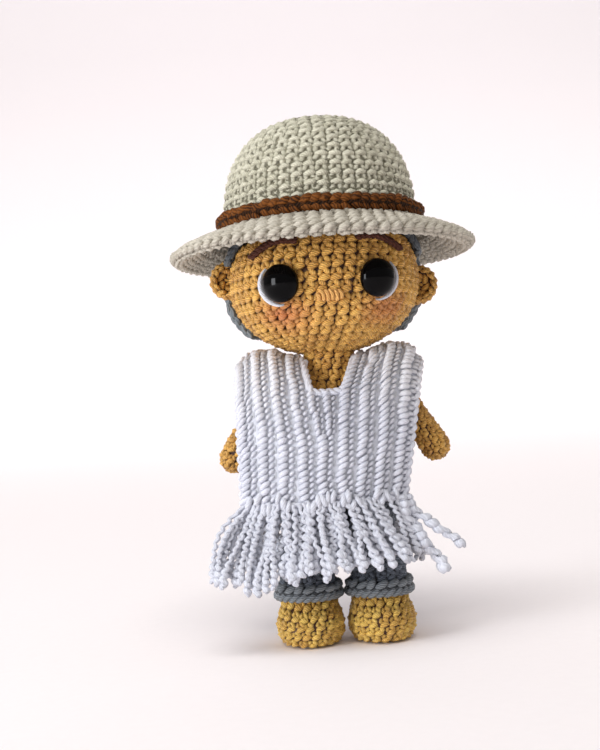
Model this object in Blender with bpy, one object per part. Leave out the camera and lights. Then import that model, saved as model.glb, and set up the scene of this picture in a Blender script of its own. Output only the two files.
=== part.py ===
"""A crocheted doll in a brimmed hat and a fringed poncho, as separate pieces.

Metres, +Z up. The doll stands on z = 0 and faces -Y, so its own left side is at +X.
"""

from math import acos, asin, cos, pi, radians, sin, sqrt

import bmesh
import bpy
from mathutils import Matrix, Vector

# Clearances and cutting
GAP = 0.0003                    # between pieces that touch on the real doll
STUFFING_GAP = 0.0005           # between a skin and the filling inside it
OVERRUN = 0.012                 # how far a cutter runs past what it cuts
WELD = 1e-7                     # points closer than this are one point

# Yarn skins
SKIN = 0.0019                   # thickness of the crocheted skin

# Feet
FOOT_HEIGHT = 0.0152
FOOT_WIDTH = 0.0226
FOOT_LENGTH = 0.0270
FOOT_FORWARD = 0.0030           # how far the toe end is pushed forward of the leg
SOLE_THICKNESS = 0.0022

# Legs and seat
FEET_APART = 0.0008             # between the two feet or cuffs, whichever are wider
LEG_RADIUS = 0.0094
LEG_LENGTH = 0.0134             # from the ankle to the crotch
CUFF_HEIGHT = 0.0050
CUFF_THICKNESS = 0.0018         # at its roundest
SEAT_RADIUS = 0.0212
SEAT_BOWL = 0.0185              # depth of the rounded seat under the waist
HIP_SHARE = 0.8                 # width of a leg's upper end inside the seat, against the leg

# Torso and neck
TORSO_HEIGHT = 0.0410
NECK_RADIUS = 0.0085
NECK_HEIGHT = 0.0064            # skin seen between shoulders and head
NECK_TUCK = 0.0010              # how far the neck reaches past the head's wall

# Arms
ARM_DROP = 0.0025               # shoulder centre below the base of the neck
SHOULDER_RADIUS = 0.0042
WRIST_RADIUS = 0.0044
HAND_RADIUS = 0.0052
ARM_LENGTH = 0.0315             # shoulder centre to palm centre
ARM_START_ANGLE = radians(72)   # from straight down, at the shoulder
ARM_END_ANGLE = radians(29)     # from straight down, at the hand
ARM_BEND_SHARE = 0.45           # share of the arm in which it bends

# Head
HEAD_RADIUS = 0.0317
HEAD_LOWER = 0.0237             # centre to chin
HEAD_UPPER = 0.0320             # centre to top

# Ears
EAR_REACH = 0.0068              # how far an ear stands out of the head
EAR_HEIGHT = 0.0134
EAR_THICKNESS = 0.0072
EAR_HOLLOW = 0.0026             # depth of the cupped front
EAR_LEVEL = 0.0012              # above the head's centre
EAR_BACK = 0.0012               # behind the head's middle

# Eyes, with a post through the skin and a washer behind it
EYE_RADIUS = 0.0060
EYE_DOME = 0.0042
EYE_RIM = 0.0009
EYE_AZIMUTH = radians(27)       # from straight ahead
EYE_LEVEL = -0.0020             # against the head's centre
POST_RADIUS = 0.0018
POST_LENGTH = 0.0090
WASHER_RADIUS = 0.0055
WASHER_THICKNESS = 0.0016
WASHER_SINK = 0.0014            # washer's front behind the skin's inner face
EYE_WHITE_RADIUS = 0.0009       # thickness of the white crescent
EYE_WHITE_START = radians(48)   # round the eye, from its outer side
EYE_WHITE_END = radians(-100)

# Brows and nose, in yarn
BROW_RADIUS = 0.0009
BROW_INNER = radians(19)        # azimuth of the end near the nose
BROW_OUTER = radians(50)
BROW_LEVEL = 0.0107             # above the head's centre, at the inner end
BROW_ARCH = 0.0012
BROW_FALL = 0.0034              # outer end below the inner one
NOSE_RADIUS = 0.0012
NOSE_LENGTH = 0.0092
NOSE_LEVEL = -0.0067

# Hair, a cap over the back of the head
HAIR_THICKNESS = 0.0019
HAIR_TAPER = 0.0015             # how much thinner it would be under the chin
HAIR_NAPE = 0.0155              # lower edge below the head's centre
HAIR_SIDE = 0.0032              # front edge behind the head's middle, below the ears
HAIR_TEMPLE = 0.0095            # front edge before the head's middle, above the ears
HAIR_BROW = 0.0190              # hairline above the head's centre, at the forehead

# Hat
HAT_WALL = 0.0026
HAT_SEAT = 0.0176               # brim's inner edge above the head's centre
HAT_HEADROOM = 0.0181           # between hair and crown
CROWN_POWER = 2.55              # 2 is an ellipse, higher is squarer
BRIM_RADIUS = 0.0505
BRIM_DROP = 0.0068              # edge below the brim's inner edge
BRIM_ROLL = 0.0023              # radius of the rolled edge
BAND_HEIGHT = 0.0040
BAND_THICKNESS = 0.0030

# Poncho, two panels that meet at the shoulders
CLOTH = 0.0024                  # thickness of the crocheted panels
RIB_RISE = 0.0005               # ribs above and hollows below the panel's middle
RIB_COUNT = 9
PONCHO_LENGTH = 0.0502          # shoulder seam to hem, straight down
PONCHO_SHOULDER = 0.0323        # half width at the shoulders
FRONT_HEM = 0.0266              # half widths at the hem
BACK_HEM = 0.0290
FRONT_SKEW = -0.0053            # both panels hang a little to one side
BACK_SKEW = -0.0035
PONCHO_EASE = 0.0010            # between the seat and the cloth
PONCHO_WRAP_SHARE = 0.38        # how far the side edges come in towards the body
SHOULDER_RISE = 0.0083          # seam above the base of the neck
SHOULDER_DROOP = 0.0062         # how far the seam falls at its outer end
SHOULDER_ROUND = 0.0034         # how much narrower the panels are at the seam
ROUND_START_SHARE = 0.24        # share of the length in which they reach full width
SEAM_FLAT = 0.0012              # level strip of each panel along the seam
DROOP_START_SHARE = 0.75        # share of the half width where it begins to fall
NECK_EASE = 0.0011              # neck to neckline
NECKLINE_TOP = 0.0225           # width of the front opening
NECKLINE_BOTTOM = 0.0108
NECKLINE_DEPTH = 0.0140         # below the shoulder seam
NECKLINE_ASIDE = -0.0022        # its lower end lies to one side, as the panel hangs

# Fringe
STRAND_COUNT = 17
STRAND_WIDTH = 0.0022
STRAND_LENGTH = 0.0245
STRAND_VARIETY = 0.0030         # longest and shortest strands against the mean
HEM_STRIP = 0.0016
FLARE_LEFT = 0.0095             # sideways at the strand's end, on the doll's right
FLARE_MIDDLE = 0.0095
FLARE_RIGHT = 0.0170
FLARE_OUT = 0.0025              # away from the body

# Facets
ROUND = 32                      # segments of the head, hair and their filling
LIMB_ROUND = 20
HAT_ROUND = 36
SMALL_ROUND = 16
LOWER_ROWS = 4                  # rows of the head below and above its widest ring
UPPER_ROWS = 6

# Foot outline: share of height, share of half width, share of the way to the ankle
FOOT_SHARES = (
    (0.00, 0.80, 0.00), (0.07, 0.91, 0.00), (0.22, 0.99, 0.00), (0.44, 1.00, 0.00),
    (0.66, 0.99, 0.25), (0.82, 0.97, 0.70), (0.91, 1.00, 1.00), (1.00, 1.00, 1.00),
)
# Arm radius: share of the length, share of the way from wrist to hand or shoulder
HAND_SHARES = ((0.60, 0.0), (0.72, 0.25), (0.84, 0.75), (1.00, 1.0))
CAP_SHARES = ((0.98, 0.22), (0.86, 0.52), (0.60, 0.80), (0.25, 0.97))

# Sizes and heights that follow from those above
CUFF_RADIUS = LEG_RADIUS + GAP + CUFF_THICKNESS
LEG_SPACING = max(FOOT_WIDTH, 2 * CUFF_RADIUS) + FEET_APART
ANKLE_Z = FOOT_HEIGHT
CROTCH_Z = ANKLE_Z + LEG_LENGTH
WAIST_Z = CROTCH_Z + SEAT_BOWL
NECK_BASE_Z = WAIST_Z + TORSO_HEIGHT
HEAD_OPENING = NECK_RADIUS + GAP
HEAD_Z = NECK_BASE_Z + NECK_HEIGHT + HEAD_LOWER * sqrt(1 - (HEAD_OPENING / HEAD_RADIUS) ** 2)
HAIR_OFFSET = GAP + HAIR_THICKNESS
SHOULDER_Z = NECK_BASE_Z + SHOULDER_RISE
HEM_Z = SHOULDER_Z - PONCHO_LENGTH
PONCHO_DEPTH = SEAT_RADIUS + PONCHO_EASE + CLOTH / 2 + RIB_RISE

SCENE = bpy.context.scene


def clear_scene():
    for item in list(bpy.data.objects):
        bpy.data.objects.remove(item, do_unlink=True)


def yarn(name, colour, roughness=0.9):
    material = bpy.data.materials.new(name)
    material.use_nodes = True
    shader = material.node_tree.nodes["Principled BSDF"]
    shader.inputs["Base Color"].default_value = (*colour, 1.0)
    shader.inputs["Roughness"].default_value = roughness
    shader.inputs["Metallic"].default_value = 0.0
    return material


def empty(name, place, parent=None):
    item = bpy.data.objects.new(name, None)
    item.location = place
    item.parent = parent
    SCENE.collection.objects.link(item)
    return item


def add_piece(name, data, material, parent, turn=None):
    item = bpy.data.objects.new(name, data)
    if material:
        data.materials.append(material)
    item.parent = parent
    if turn is not None:
        item.matrix_local = turn
    SCENE.collection.objects.link(item)
    return item


def finish_mesh(name, bm, material, parent, turn=None):
    """Close the bmesh's seams, point its faces outwards and make it an object."""
    bmesh.ops.remove_doubles(bm, verts=bm.verts, dist=WELD)
    bmesh.ops.recalc_face_normals(bm, faces=bm.faces)
    mesh = bpy.data.meshes.new(name)
    bm.to_mesh(mesh)
    bm.free()
    mesh.shade_smooth()
    mesh.set_sharp_from_angle(angle=radians(40))
    return add_piece(name, mesh, material, parent, turn)


def turned(name, profile, segments, material, parent, closed=False, turn=None):
    """Spin (radius, height) points round Z. Open profiles start and end on the axis."""
    bm = bmesh.new()
    points = [bm.verts.new((radius, 0.0, height)) for radius, height in profile]
    pairs = list(zip(points, points[1:]))
    if closed:
        pairs.append((points[-1], points[0]))
    edges = [bm.edges.new(pair) for pair in pairs]
    bmesh.ops.spin(
        bm, geom=points + edges, cent=(0, 0, 0), axis=(0, 0, 1),
        angle=2 * pi, steps=segments, use_merge=True,
    )
    return finish_mesh(name, bm, material, parent, turn)


def lofted(name, rings, segments, material, parent):
    """A closed solid through elliptical rings: (centre x, centre y, height, half x, half y)."""
    bm = bmesh.new()
    bmesh.ops.create_circle(bm, cap_ends=True, segments=segments, radius=1)
    face = bm.faces[:][0]
    last = (0, 0, 0, 1, 1)
    for number, ring in enumerate(rings):
        if number == 1:
            grown = bmesh.ops.extrude_face_region(bm, geom=[face])["geom"]
            face = next(item for item in grown if isinstance(item, bmesh.types.BMFace))
        elif number:
            face = bmesh.ops.extrude_discrete_faces(bm, faces=[face])["faces"][0]
        for vert in face.verts:
            along = (vert.co.x - last[0]) / last[3]
            across = (vert.co.y - last[1]) / last[4]
            vert.co = (ring[0] + along * ring[3], ring[1] + across * ring[4], ring[2])
        last = ring
    return finish_mesh(name, bm, material, parent)


def swept(name, points, radii, material, parent, resolution=2):
    """A round yarn along points, with a radius at each of them."""
    curve = bpy.data.curves.new(name, "CURVE")
    curve.dimensions = "3D"
    curve.bevel_depth = 1.0
    curve.bevel_resolution = resolution
    curve.use_fill_caps = True
    spline = curve.splines.new("POLY")
    spline.points.add(len(points) - 1)
    for knot, place, radius in zip(spline.points, points, radii):
        knot.co = (*place, 1.0)
        knot.radius = radius
    return add_piece(name, curve, material, parent)


def as_cutter(item):
    item.hide_render = True
    item.display_type = "WIRE"
    return item


def combine(piece, other, operation="DIFFERENCE"):
    modifier = piece.modifiers.new(other.name, "BOOLEAN")
    modifier.operation = operation
    modifier.solver = "EXACT"
    modifier.object = as_cutter(other)


def head_point(azimuth, level, offset=0.0):
    """A point on the head, and the way out of it, in the head's own frame."""
    rise = HEAD_LOWER if level < 0 else HEAD_UPPER
    radius = HEAD_RADIUS * sqrt(1 - (level / rise) ** 2)
    place = Vector((radius * sin(azimuth), -radius * cos(azimuth), level))
    outward = Vector((place.x / HEAD_RADIUS**2, place.y / HEAD_RADIUS**2, level / rise**2))
    outward.normalize()
    return place + outward * offset, outward


def head_arc(offset, start_radius=0.0, taper=0.0):
    """The head's outline grown by offset, less by taper under the chin, from start to top."""
    radius = HEAD_RADIUS + offset
    start = -acos(start_radius / radius)
    angles = [start * (1 - row / LOWER_ROWS) for row in range(LOWER_ROWS)]
    angles += [pi / 2 * row / UPPER_ROWS for row in range(UPPER_ROWS)]
    arc = []
    for angle in angles:
        rise = (HEAD_LOWER - taper if angle < 0 else HEAD_UPPER) + offset
        arc.append((radius * cos(angle), rise * sin(angle)))
    return arc + [(0.0, HEAD_UPPER + offset)]


def torso_radius(height):
    """Radius of the body above the waist, a pear that narrows to the neck."""
    share = min(max((height - WAIST_Z) / (NECK_BASE_Z - WAIST_Z), 0.0), 1.0)
    return NECK_RADIUS + (SEAT_RADIUS - NECK_RADIUS) * cos(share * pi / 2)


def neck_top():
    """Height of the neck's upper end, just past the head's wall."""
    inner = HEAD_RADIUS - SKIN
    wall_top = (HEAD_LOWER - SKIN) * sqrt(1 - (HEAD_OPENING / inner) ** 2)
    return HEAD_Z - wall_top + NECK_TUCK


def torso_arc(inset, top, rows=6):
    heights = [WAIST_Z + (NECK_BASE_Z - WAIST_Z) * row / rows for row in range(rows + 1)]
    arc = [(torso_radius(height) - inset, height) for height in heights]
    return arc + [(NECK_RADIUS - inset, top)]


def seat_arc(inset, rows=5):
    """The seat's bowl, from its lowest point up to the waist."""
    radius = SEAT_RADIUS - inset
    depth = SEAT_BOWL - inset
    arc = []
    for row in range(rows):
        angle = -pi / 2 * (1 - row / rows)
        arc.append((radius * cos(angle), WAIST_Z - GAP + depth * sin(angle)))
    arc[0] = (0.0, arc[0][1])
    return arc


def build_body(figure, skin, cotton, grey):
    torso_outer = torso_arc(0.0, neck_top())
    torso_inner = torso_arc(SKIN, neck_top())
    turned("torso", torso_outer + torso_inner[::-1], LIMB_ROUND, skin, figure, closed=True)

    trousers = turned(
        "trousers", seat_arc(0.0) + [(SEAT_RADIUS, WAIST_Z - GAP), (0.0, WAIST_Z - GAP)],
        LIMB_ROUND, grey, figure,
    )
    hollow_top = WAIST_Z + OVERRUN
    inner = SEAT_RADIUS - SKIN
    hollow = seat_arc(SKIN) + [(inner, WAIST_Z - GAP), (inner, hollow_top), (0.0, hollow_top)]
    hollow = turned("seat_hollow", hollow, LIMB_ROUND, None, figure)
    for side in (1, -1):
        combine(trousers, leg_form(f"leg_skin_{side}", side, 0.0, figure), "UNION")
    combine(trousers, hollow)
    for side in (1, -1):
        combine(trousers, leg_form(f"leg_hollow_{side}", side, SKIN, figure))

    inset = SKIN + STUFFING_GAP
    filling_top = neck_top() - STUFFING_GAP
    filling = seat_arc(inset) + torso_arc(inset, filling_top) + [(0.0, filling_top)]
    turned("body_stuffing", filling, LIMB_ROUND, cotton, figure)

    room = seat_arc(SKIN) + torso_arc(SKIN, filling_top)[:1]
    room.append((0.0, room[-1][1]))
    for side, name in ((1, "left"), (-1, "right")):
        build_leg(name, side, room, figure, skin, cotton, grey)


def leg_form(name, side, inset, figure):
    """One trouser leg as a solid; an inset one runs past its lower end as a cutter."""
    centre = side * LEG_SPACING / 2
    radius = LEG_RADIUS - inset
    low = ANKLE_Z + GAP - (OVERRUN if inset else 0.0)
    hip = radius * HIP_SHARE
    rings = [
        (centre, 0, low, radius, radius), (centre, 0, CROTCH_Z, radius, radius),
        (centre * HIP_SHARE, 0, CROTCH_Z + SEAT_BOWL / 2 - inset, hip, hip),
    ]
    return lofted(name, rings, LIMB_ROUND, None, figure)


def foot_rings(side, inset, floor):
    """Rings of a foot from the sole up to the ankle."""
    rings = []
    for height, fullness, ankle in FOOT_SHARES:
        half_x = FOOT_WIDTH / 2 * fullness * (1 - ankle) + LEG_RADIUS * ankle
        half_y = FOOT_LENGTH / 2 * fullness * (1 - ankle) + LEG_RADIUS * ankle
        rings.append((
            side * LEG_SPACING / 2, -FOOT_FORWARD * (1 - ankle),
            floor + (FOOT_HEIGHT - floor) * height, half_x - inset, half_y - inset,
        ))
    return rings


def build_leg(name, side, room, figure, skin, cotton, grey):
    """Foot, cuff and the filling of one leg."""
    outer = foot_rings(side, 0.0, 0.0)
    inner = foot_rings(side, SKIN, SOLE_THICKNESS)
    lofted(f"{name}_foot", outer + inner[::-1], LIMB_ROUND, skin, figure)

    inside = LEG_RADIUS + GAP
    outside = CUFF_RADIUS - CUFF_THICKNESS / 5
    low = FOOT_HEIGHT * FOOT_SHARES[-2][0] + GAP
    high = low + CUFF_HEIGHT
    profile = [
        (inside, low), (outside, low), (CUFF_RADIUS, low + CUFF_HEIGHT / 3),
        (outside, high - CUFF_HEIGHT / 4), (inside, high),
    ]
    place = Matrix.Translation((side * LEG_SPACING / 2, 0, 0))
    turned(f"{name}_cuff", profile, LIMB_ROUND, grey, figure, closed=True, turn=place)

    inset = SKIN + STUFFING_GAP
    rings = foot_rings(side, inset, SOLE_THICKNESS + STUFFING_GAP)
    centre = side * LEG_SPACING / 2
    radius = LEG_RADIUS - inset
    hip = radius * HIP_SHARE
    rings.append((centre, 0, CROTCH_Z, radius, radius))
    rings.append((centre * HIP_SHARE, 0, CROTCH_Z + SEAT_BOWL / 2 - SKIN, hip, hip))
    filling = lofted(f"{name}_leg_stuffing", rings, LIMB_ROUND, cotton, figure)
    combine(filling, turned(f"{name}_leg_room", room, LIMB_ROUND, None, figure))


def arm_centre():
    """Shoulder centre of the doll's left arm: its ball just clears the body."""
    height = NECK_BASE_Z - ARM_DROP
    lean = (torso_radius(height - WELD) - torso_radius(height + WELD)) / (2 * WELD)
    reach = (SHOULDER_RADIUS + GAP) * sqrt(1 + lean**2)
    return Vector((torso_radius(height) + reach, 0, height))


def build_arm(name, side, figure, skin):
    """A tapering arm that bends down from the shoulder, with a rounded hand."""
    centre = arm_centre()
    shoulder = empty(f"{name}_shoulder", (side * centre.x, centre.y, centre.z), figure)
    rows = 10
    place = Vector((0, 0, 0))
    points, radii = [], []
    for row in range(rows + 1):
        share = row / rows
        bend = min(share / ARM_BEND_SHARE, 1.0)
        angle = ARM_START_ANGLE + (ARM_END_ANGLE - ARM_START_ANGLE) * bend
        if row:
            step = ARM_LENGTH / rows
            place = place + Vector((side * sin(angle), 0, -cos(angle))) * step
        points.append(place.copy())
        radii.append(arm_radius(share))
    start = (points[1] - points[0]).normalized()
    end = (points[-1] - points[-2]).normalized()
    before = [(points[0] - start * SHOULDER_RADIUS * along, SHOULDER_RADIUS * round_)
              for along, round_ in CAP_SHARES]
    after = [(points[-1] + end * HAND_RADIUS * along, HAND_RADIUS * round_)
             for along, round_ in reversed(CAP_SHARES)]
    points = [p for p, _ in before] + points + [p for p, _ in after]
    radii = [r for _, r in before] + radii + [r for _, r in after]
    swept(f"{name}_arm", points, radii, skin, shoulder, resolution=3)


def arm_radius(share):
    """Radius along the arm: shoulder, wrist, then the swelling hand."""
    first = HAND_SHARES[0][0]
    if share <= first:
        return SHOULDER_RADIUS + (WRIST_RADIUS - SHOULDER_RADIUS) * share / first
    for (low, low_share), (high, high_share) in zip(HAND_SHARES, HAND_SHARES[1:]):
        if share <= high:
            swell = low_share + (high_share - low_share) * (share - low) / (high - low)
            return WRIST_RADIUS + (HAND_RADIUS - WRIST_RADIUS) * swell
    return HAND_RADIUS


def build_head(pivot, skin, cotton):
    outer = head_arc(0.0, HEAD_OPENING)
    inner = head_arc(-SKIN, HEAD_OPENING)
    head = turned("head", outer[::-1] + inner, ROUND, skin, pivot)

    floor = neck_top() - HEAD_Z + STUFFING_GAP
    inset = SKIN + STUFFING_GAP
    low = HEAD_LOWER - inset
    start = (HEAD_RADIUS - inset) * sqrt(1 - (floor / low) ** 2)
    filling = [(0.0, floor)] + head_arc(-inset, start)
    stuffing = turned("head_stuffing", filling, ROUND, cotton, pivot)
    return head, stuffing


def build_ear(name, side, pivot, skin):
    """A cupped half disc, flat against the head."""
    half = EAR_HEIGHT / 2
    rim = EAR_THICKNESS / 2
    centre = Vector((side * HEAD_RADIUS, EAR_BACK, EAR_LEVEL))
    front = centre + Vector((0, -rim, 0))
    ear = ball(name, centre, (EAR_REACH, rim, half), skin, pivot)
    cup_size = (EAR_REACH - rim / 2, EAR_HOLLOW, half - rim / 2)
    combine(ear, ball(f"{name}_cup", front, cup_size, None, pivot))
    seat = [(0.0, -HEAD_LOWER - GAP)] + head_arc(GAP)[1:]
    combine(ear, turned(f"{name}_seat", seat, ROUND, None, pivot))


def ball(name, centre, half_sizes, material, parent):
    """A ball stretched to three half sizes, with its place in its mesh."""
    bm = bmesh.new()
    bmesh.ops.create_uvsphere(bm, u_segments=12, v_segments=8, radius=1)
    shape = Matrix.Translation(centre) @ Matrix.Diagonal((*half_sizes, 1))
    bmesh.ops.transform(bm, matrix=shape, verts=bm.verts)
    return finish_mesh(name, bm, material, parent)


def build_eye(name, side, head, stuffing, pivot, black, washer_plastic, white):
    place, outward = head_point(side * EYE_AZIMUTH, EYE_LEVEL, GAP)
    turn = Matrix.Translation(place) @ outward.to_track_quat("Z", "Y").to_matrix().to_4x4()
    dome = [(0.0, EYE_RIM + EYE_DOME)]
    rows = 6
    for row in range(1, rows + 1):
        angle = pi / 2 * (1 - row / rows)
        dome.append((EYE_RADIUS * cos(angle), EYE_RIM + EYE_DOME * sin(angle)))
    post = [(EYE_RADIUS - EYE_RIM, 0.0), (POST_RADIUS, 0.0), (POST_RADIUS, -POST_LENGTH)]
    turned(name, dome + post + [(0.0, -POST_LENGTH)], SMALL_ROUND, black, pivot, turn=turn)

    bore = POST_RADIUS + GAP
    front = -GAP - SKIN - WASHER_SINK
    back = front - WASHER_THICKNESS
    ring = [(bore, back), (WASHER_RADIUS, back), (WASHER_RADIUS, front), (bore, front)]
    turned(f"{name}_washer", ring, SMALL_ROUND, washer_plastic, pivot, closed=True, turn=turn)

    drilled = [(0.0, -SKIN - OVERRUN), (bore, -SKIN - OVERRUN), (bore, OVERRUN), (0.0, OVERRUN)]
    combine(head, turned(f"{name}_hole", drilled, SMALL_ROUND, None, pivot, turn=turn))
    wide = WASHER_RADIUS + STUFFING_GAP
    deep = back - STUFFING_GAP
    end = -POST_LENGTH - STUFFING_GAP
    pocket = [(0.0, end), (bore, end), (bore, deep), (wide, deep), (wide, OVERRUN), (0.0, OVERRUN)]
    combine(stuffing, turned(f"{name}_pocket", pocket, SMALL_ROUND, None, pivot, turn=turn))
    build_eye_white(f"{name}_white", side, pivot, white)


def build_eye_white(name, side, pivot, white):
    """A white crescent on the head, round the outer and lower side of the eye."""
    distance = EYE_RADIUS + GAP + EYE_WHITE_RADIUS
    rows = 9
    points, radii = [], []
    for row in range(rows + 1):
        angle = EYE_WHITE_START + (EYE_WHITE_END - EYE_WHITE_START) * row / rows
        level = EYE_LEVEL + distance * sin(angle)
        across = distance * cos(angle) / HEAD_RADIUS
        azimuth = side * (EYE_AZIMUTH + asin(across))
        point, _ = head_point(azimuth, level, GAP + EYE_WHITE_RADIUS)
        points.append(point)
        radii.append(EYE_WHITE_RADIUS * (0.35 + 0.65 * sin(pi * row / rows)))
    swept(name, points, radii, white, pivot, resolution=1)


def build_brow(name, side, pivot, brown):
    rows = 8
    points, radii = [], []
    for row in range(rows + 1):
        share = row / rows
        azimuth = side * (BROW_INNER + (BROW_OUTER - BROW_INNER) * share)
        level = BROW_LEVEL + BROW_ARCH * sin(pi * share) - BROW_FALL * share**2
        point, _ = head_point(azimuth, level, GAP + BROW_RADIUS)
        points.append(point)
        radii.append(BROW_RADIUS)
    swept(name, points, radii, brown, pivot, resolution=1)


def build_nose(pivot, skin):
    rows = 6
    half = asin(NOSE_LENGTH / 2 / HEAD_RADIUS)
    points, radii = [], []
    for row in range(rows + 1):
        share = 2 * row / rows - 1
        point, _ = head_point(half * share, NOSE_LEVEL, GAP + NOSE_RADIUS)
        points.append(point)
        radii.append(NOSE_RADIUS * (1 - 0.4 * share**4))
    swept("nose", points, radii, skin, pivot, resolution=2)


def build_hair(pivot, grey):
    """A cap of hair, cut open in front of the ears and along the hairline."""
    nape = -asin(HAIR_NAPE / (HEAD_LOWER + HAIR_OFFSET - HAIR_TAPER))
    start_radius = (HEAD_RADIUS + HAIR_OFFSET) * cos(nape)
    outer = head_arc(HAIR_OFFSET, start_radius, HAIR_TAPER)
    rim = outer[0][1]
    inside = (HEAD_RADIUS + GAP) * sqrt(1 - (rim / (HEAD_LOWER + GAP)) ** 2)
    inner = [(inside, rim)] + [spot for spot in head_arc(GAP, HEAD_OPENING) if spot[1] > rim]
    hair = turned("hair", outer[::-1] + inner, ROUND, grey, pivot)

    front = -HEAD_RADIUS - OVERRUN
    below = -HEAD_LOWER - OVERRUN
    ear_low = EAR_LEVEL - EAR_HEIGHT / 2 - GAP
    ear_high = EAR_LEVEL + EAR_HEIGHT / 2 + GAP
    behind_ear = EAR_BACK + EAR_THICKNESS / 2 + GAP
    outline = [
        (front, below), (HAIR_SIDE, below), (HAIR_SIDE, ear_low), (behind_ear, ear_low),
        (behind_ear, ear_high), (-HAIR_TEMPLE, ear_high),
        (-(HAIR_TEMPLE + HEAD_RADIUS) / 2, (ear_high + HAIR_BROW) / 2), (front, HAIR_BROW),
    ]
    bm = bmesh.new()
    reach = HEAD_RADIUS + OVERRUN
    face = bm.faces.new([bm.verts.new((-reach, y, z)) for y, z in outline])
    grown = bmesh.ops.extrude_face_region(bm, geom=[face])["geom"]
    across = [item for item in grown if isinstance(item, bmesh.types.BMVert)]
    bmesh.ops.translate(bm, verts=across, vec=(2 * reach, 0, 0))
    combine(hair, finish_mesh("face_opening", bm, None, pivot))


def hair_radius(level):
    """Outer radius of the hair at a level above the head's centre."""
    return (HEAD_RADIUS + HAIR_OFFSET) * sqrt(1 - (level / (HEAD_UPPER + HAIR_OFFSET)) ** 2)


def crown_arc(radius, low, high, rows):
    """A squarish dome, from its rim up to its top."""
    arc = []
    for row in range(rows):
        angle = pi / 2 * row / rows
        arc.append((
            radius * cos(angle) ** (2 / CROWN_POWER),
            low + (high - low) * sin(angle) ** (2 / CROWN_POWER),
        ))
    return arc + [(0.0, high)]


def build_hat(pivot, cream, brown):
    """Crown and sloping brim in one crocheted piece; heights are from its inner edge."""
    slide = empty("hat_slide", (0, 0, HAT_SEAT), pivot)
    inner_radius = hair_radius(HAT_SEAT) + GAP
    outer_radius = inner_radius + HAT_WALL
    inner_top = HEAD_UPPER + HAIR_OFFSET + HAT_HEADROOM - HAT_SEAT
    outer_top = inner_top + HAT_WALL
    foot = HAT_WALL * 0.6
    outer = crown_arc(outer_radius, foot, outer_top, 9)
    inner = crown_arc(inner_radius, 0.0, inner_top, 7)

    edge_radius = BRIM_RADIUS - BRIM_ROLL
    edge_z = -BRIM_DROP
    slope_start = outer_radius + BAND_THICKNESS
    slope_z = foot - HAT_WALL * 0.55
    top_slope = (edge_z + BRIM_ROLL - slope_z) / (edge_radius - slope_start)
    steps = 3
    top = [(slope_start + (edge_radius - slope_start) * s / steps,
            slope_z + top_slope * (edge_radius - slope_start) * s / steps
            + HAT_WALL * 0.25 * sin(pi * s / steps)) for s in range(steps)]
    roll = [(edge_radius + BRIM_ROLL * sin(pi * s / 4), edge_z + BRIM_ROLL * cos(pi * s / 4))
            for s in range(5)]
    under = [(inner_radius + (edge_radius - inner_radius) * s,
              (edge_z - BRIM_ROLL) * s + HAT_WALL * 0.25 * sin(pi * s)) for s in (0.7, 0.35)]
    profile = outer[::-1] + top + roll + under + inner
    turned("hat", profile, HAT_ROUND, cream, slide)

    band_radius = outer_radius + GAP + BAND_THICKNESS / 2
    band_z = foot + BAND_HEIGHT / 2
    ring = [(band_radius + BAND_THICKNESS / 2 * cos(pi * s / 4),
             band_z + BAND_HEIGHT / 2 * sin(pi * s / 4)) for s in range(8)]
    turned("hat_band", ring, HAT_ROUND, brown, slide, closed=True)


def seam_height(across, x):
    """Middle of the cloth along the shoulder seam, kept under the head above x."""
    thick = CLOTH / 2 + RIB_RISE
    under_head = HEAD_Z - HEAD_LOWER * sqrt(1 - min(abs(x) / HEAD_RADIUS, 1.0) ** 2)
    past = max(abs(across) - DROOP_START_SHARE, 0.0) / (1 - DROOP_START_SHARE)
    return min(SHOULDER_Z - SHOULDER_DROOP * past**2, under_head - thick - NECK_EASE / 2)


def panel_point(across, row, rows, facing, hem, skew):
    """A point of a panel: across is -1 to 1, row 0 at the seam and rows at the hem."""
    down = max(row - 1, 0) / (rows - 1)
    half = PONCHO_SHOULDER + (hem - PONCHO_SHOULDER) * down
    half -= SHOULDER_ROUND * max(1 - down / ROUND_START_SHARE, 0.0) ** 2
    angle = down * pi / 2
    flat = SEAM_FLAT if row else 0.0
    depth = PONCHO_DEPTH * (1 - PONCHO_WRAP_SHARE * abs(across) ** 2.2) - flat
    drop = seam_height(across, across * half + skew * down) - HEM_Z
    rib = RIB_RISE * cos(2 * pi * RIB_COUNT * (across + 1) / 2) * -1
    outward = Vector((0, facing * sin(angle), cos(angle)))
    place = Vector((
        across * half + skew * down,
        facing * (GAP / 2 + flat + depth * sin(angle)),
        HEM_Z + drop * cos(angle),
    ))
    return place + outward * rib


def build_panel(name, facing, hem, skew, figure, white):
    """A ribbed panel; facing is -1 for the front and 1 for the back."""
    bm = bmesh.new()
    rows = 10
    bmesh.ops.create_grid(bm, x_segments=4 * RIB_COUNT, y_segments=rows, size=1)
    for vert in bm.verts:
        row = round((1 - vert.co.y) / 2 * rows)
        vert.co = panel_point(vert.co.x, row, rows, facing, hem, skew)
    if facing > 0:
        bmesh.ops.reverse_faces(bm, faces=bm.faces)
    mesh = bpy.data.meshes.new(name)
    bm.to_mesh(mesh)
    bm.free()
    mesh.shade_smooth()
    panel = add_piece(name, mesh, white, figure)
    wall = panel.modifiers.new("cloth", "SOLIDIFY")
    wall.thickness = CLOTH
    wall.offset = 0.0
    wall.use_even_offset = True
    return panel


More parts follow.
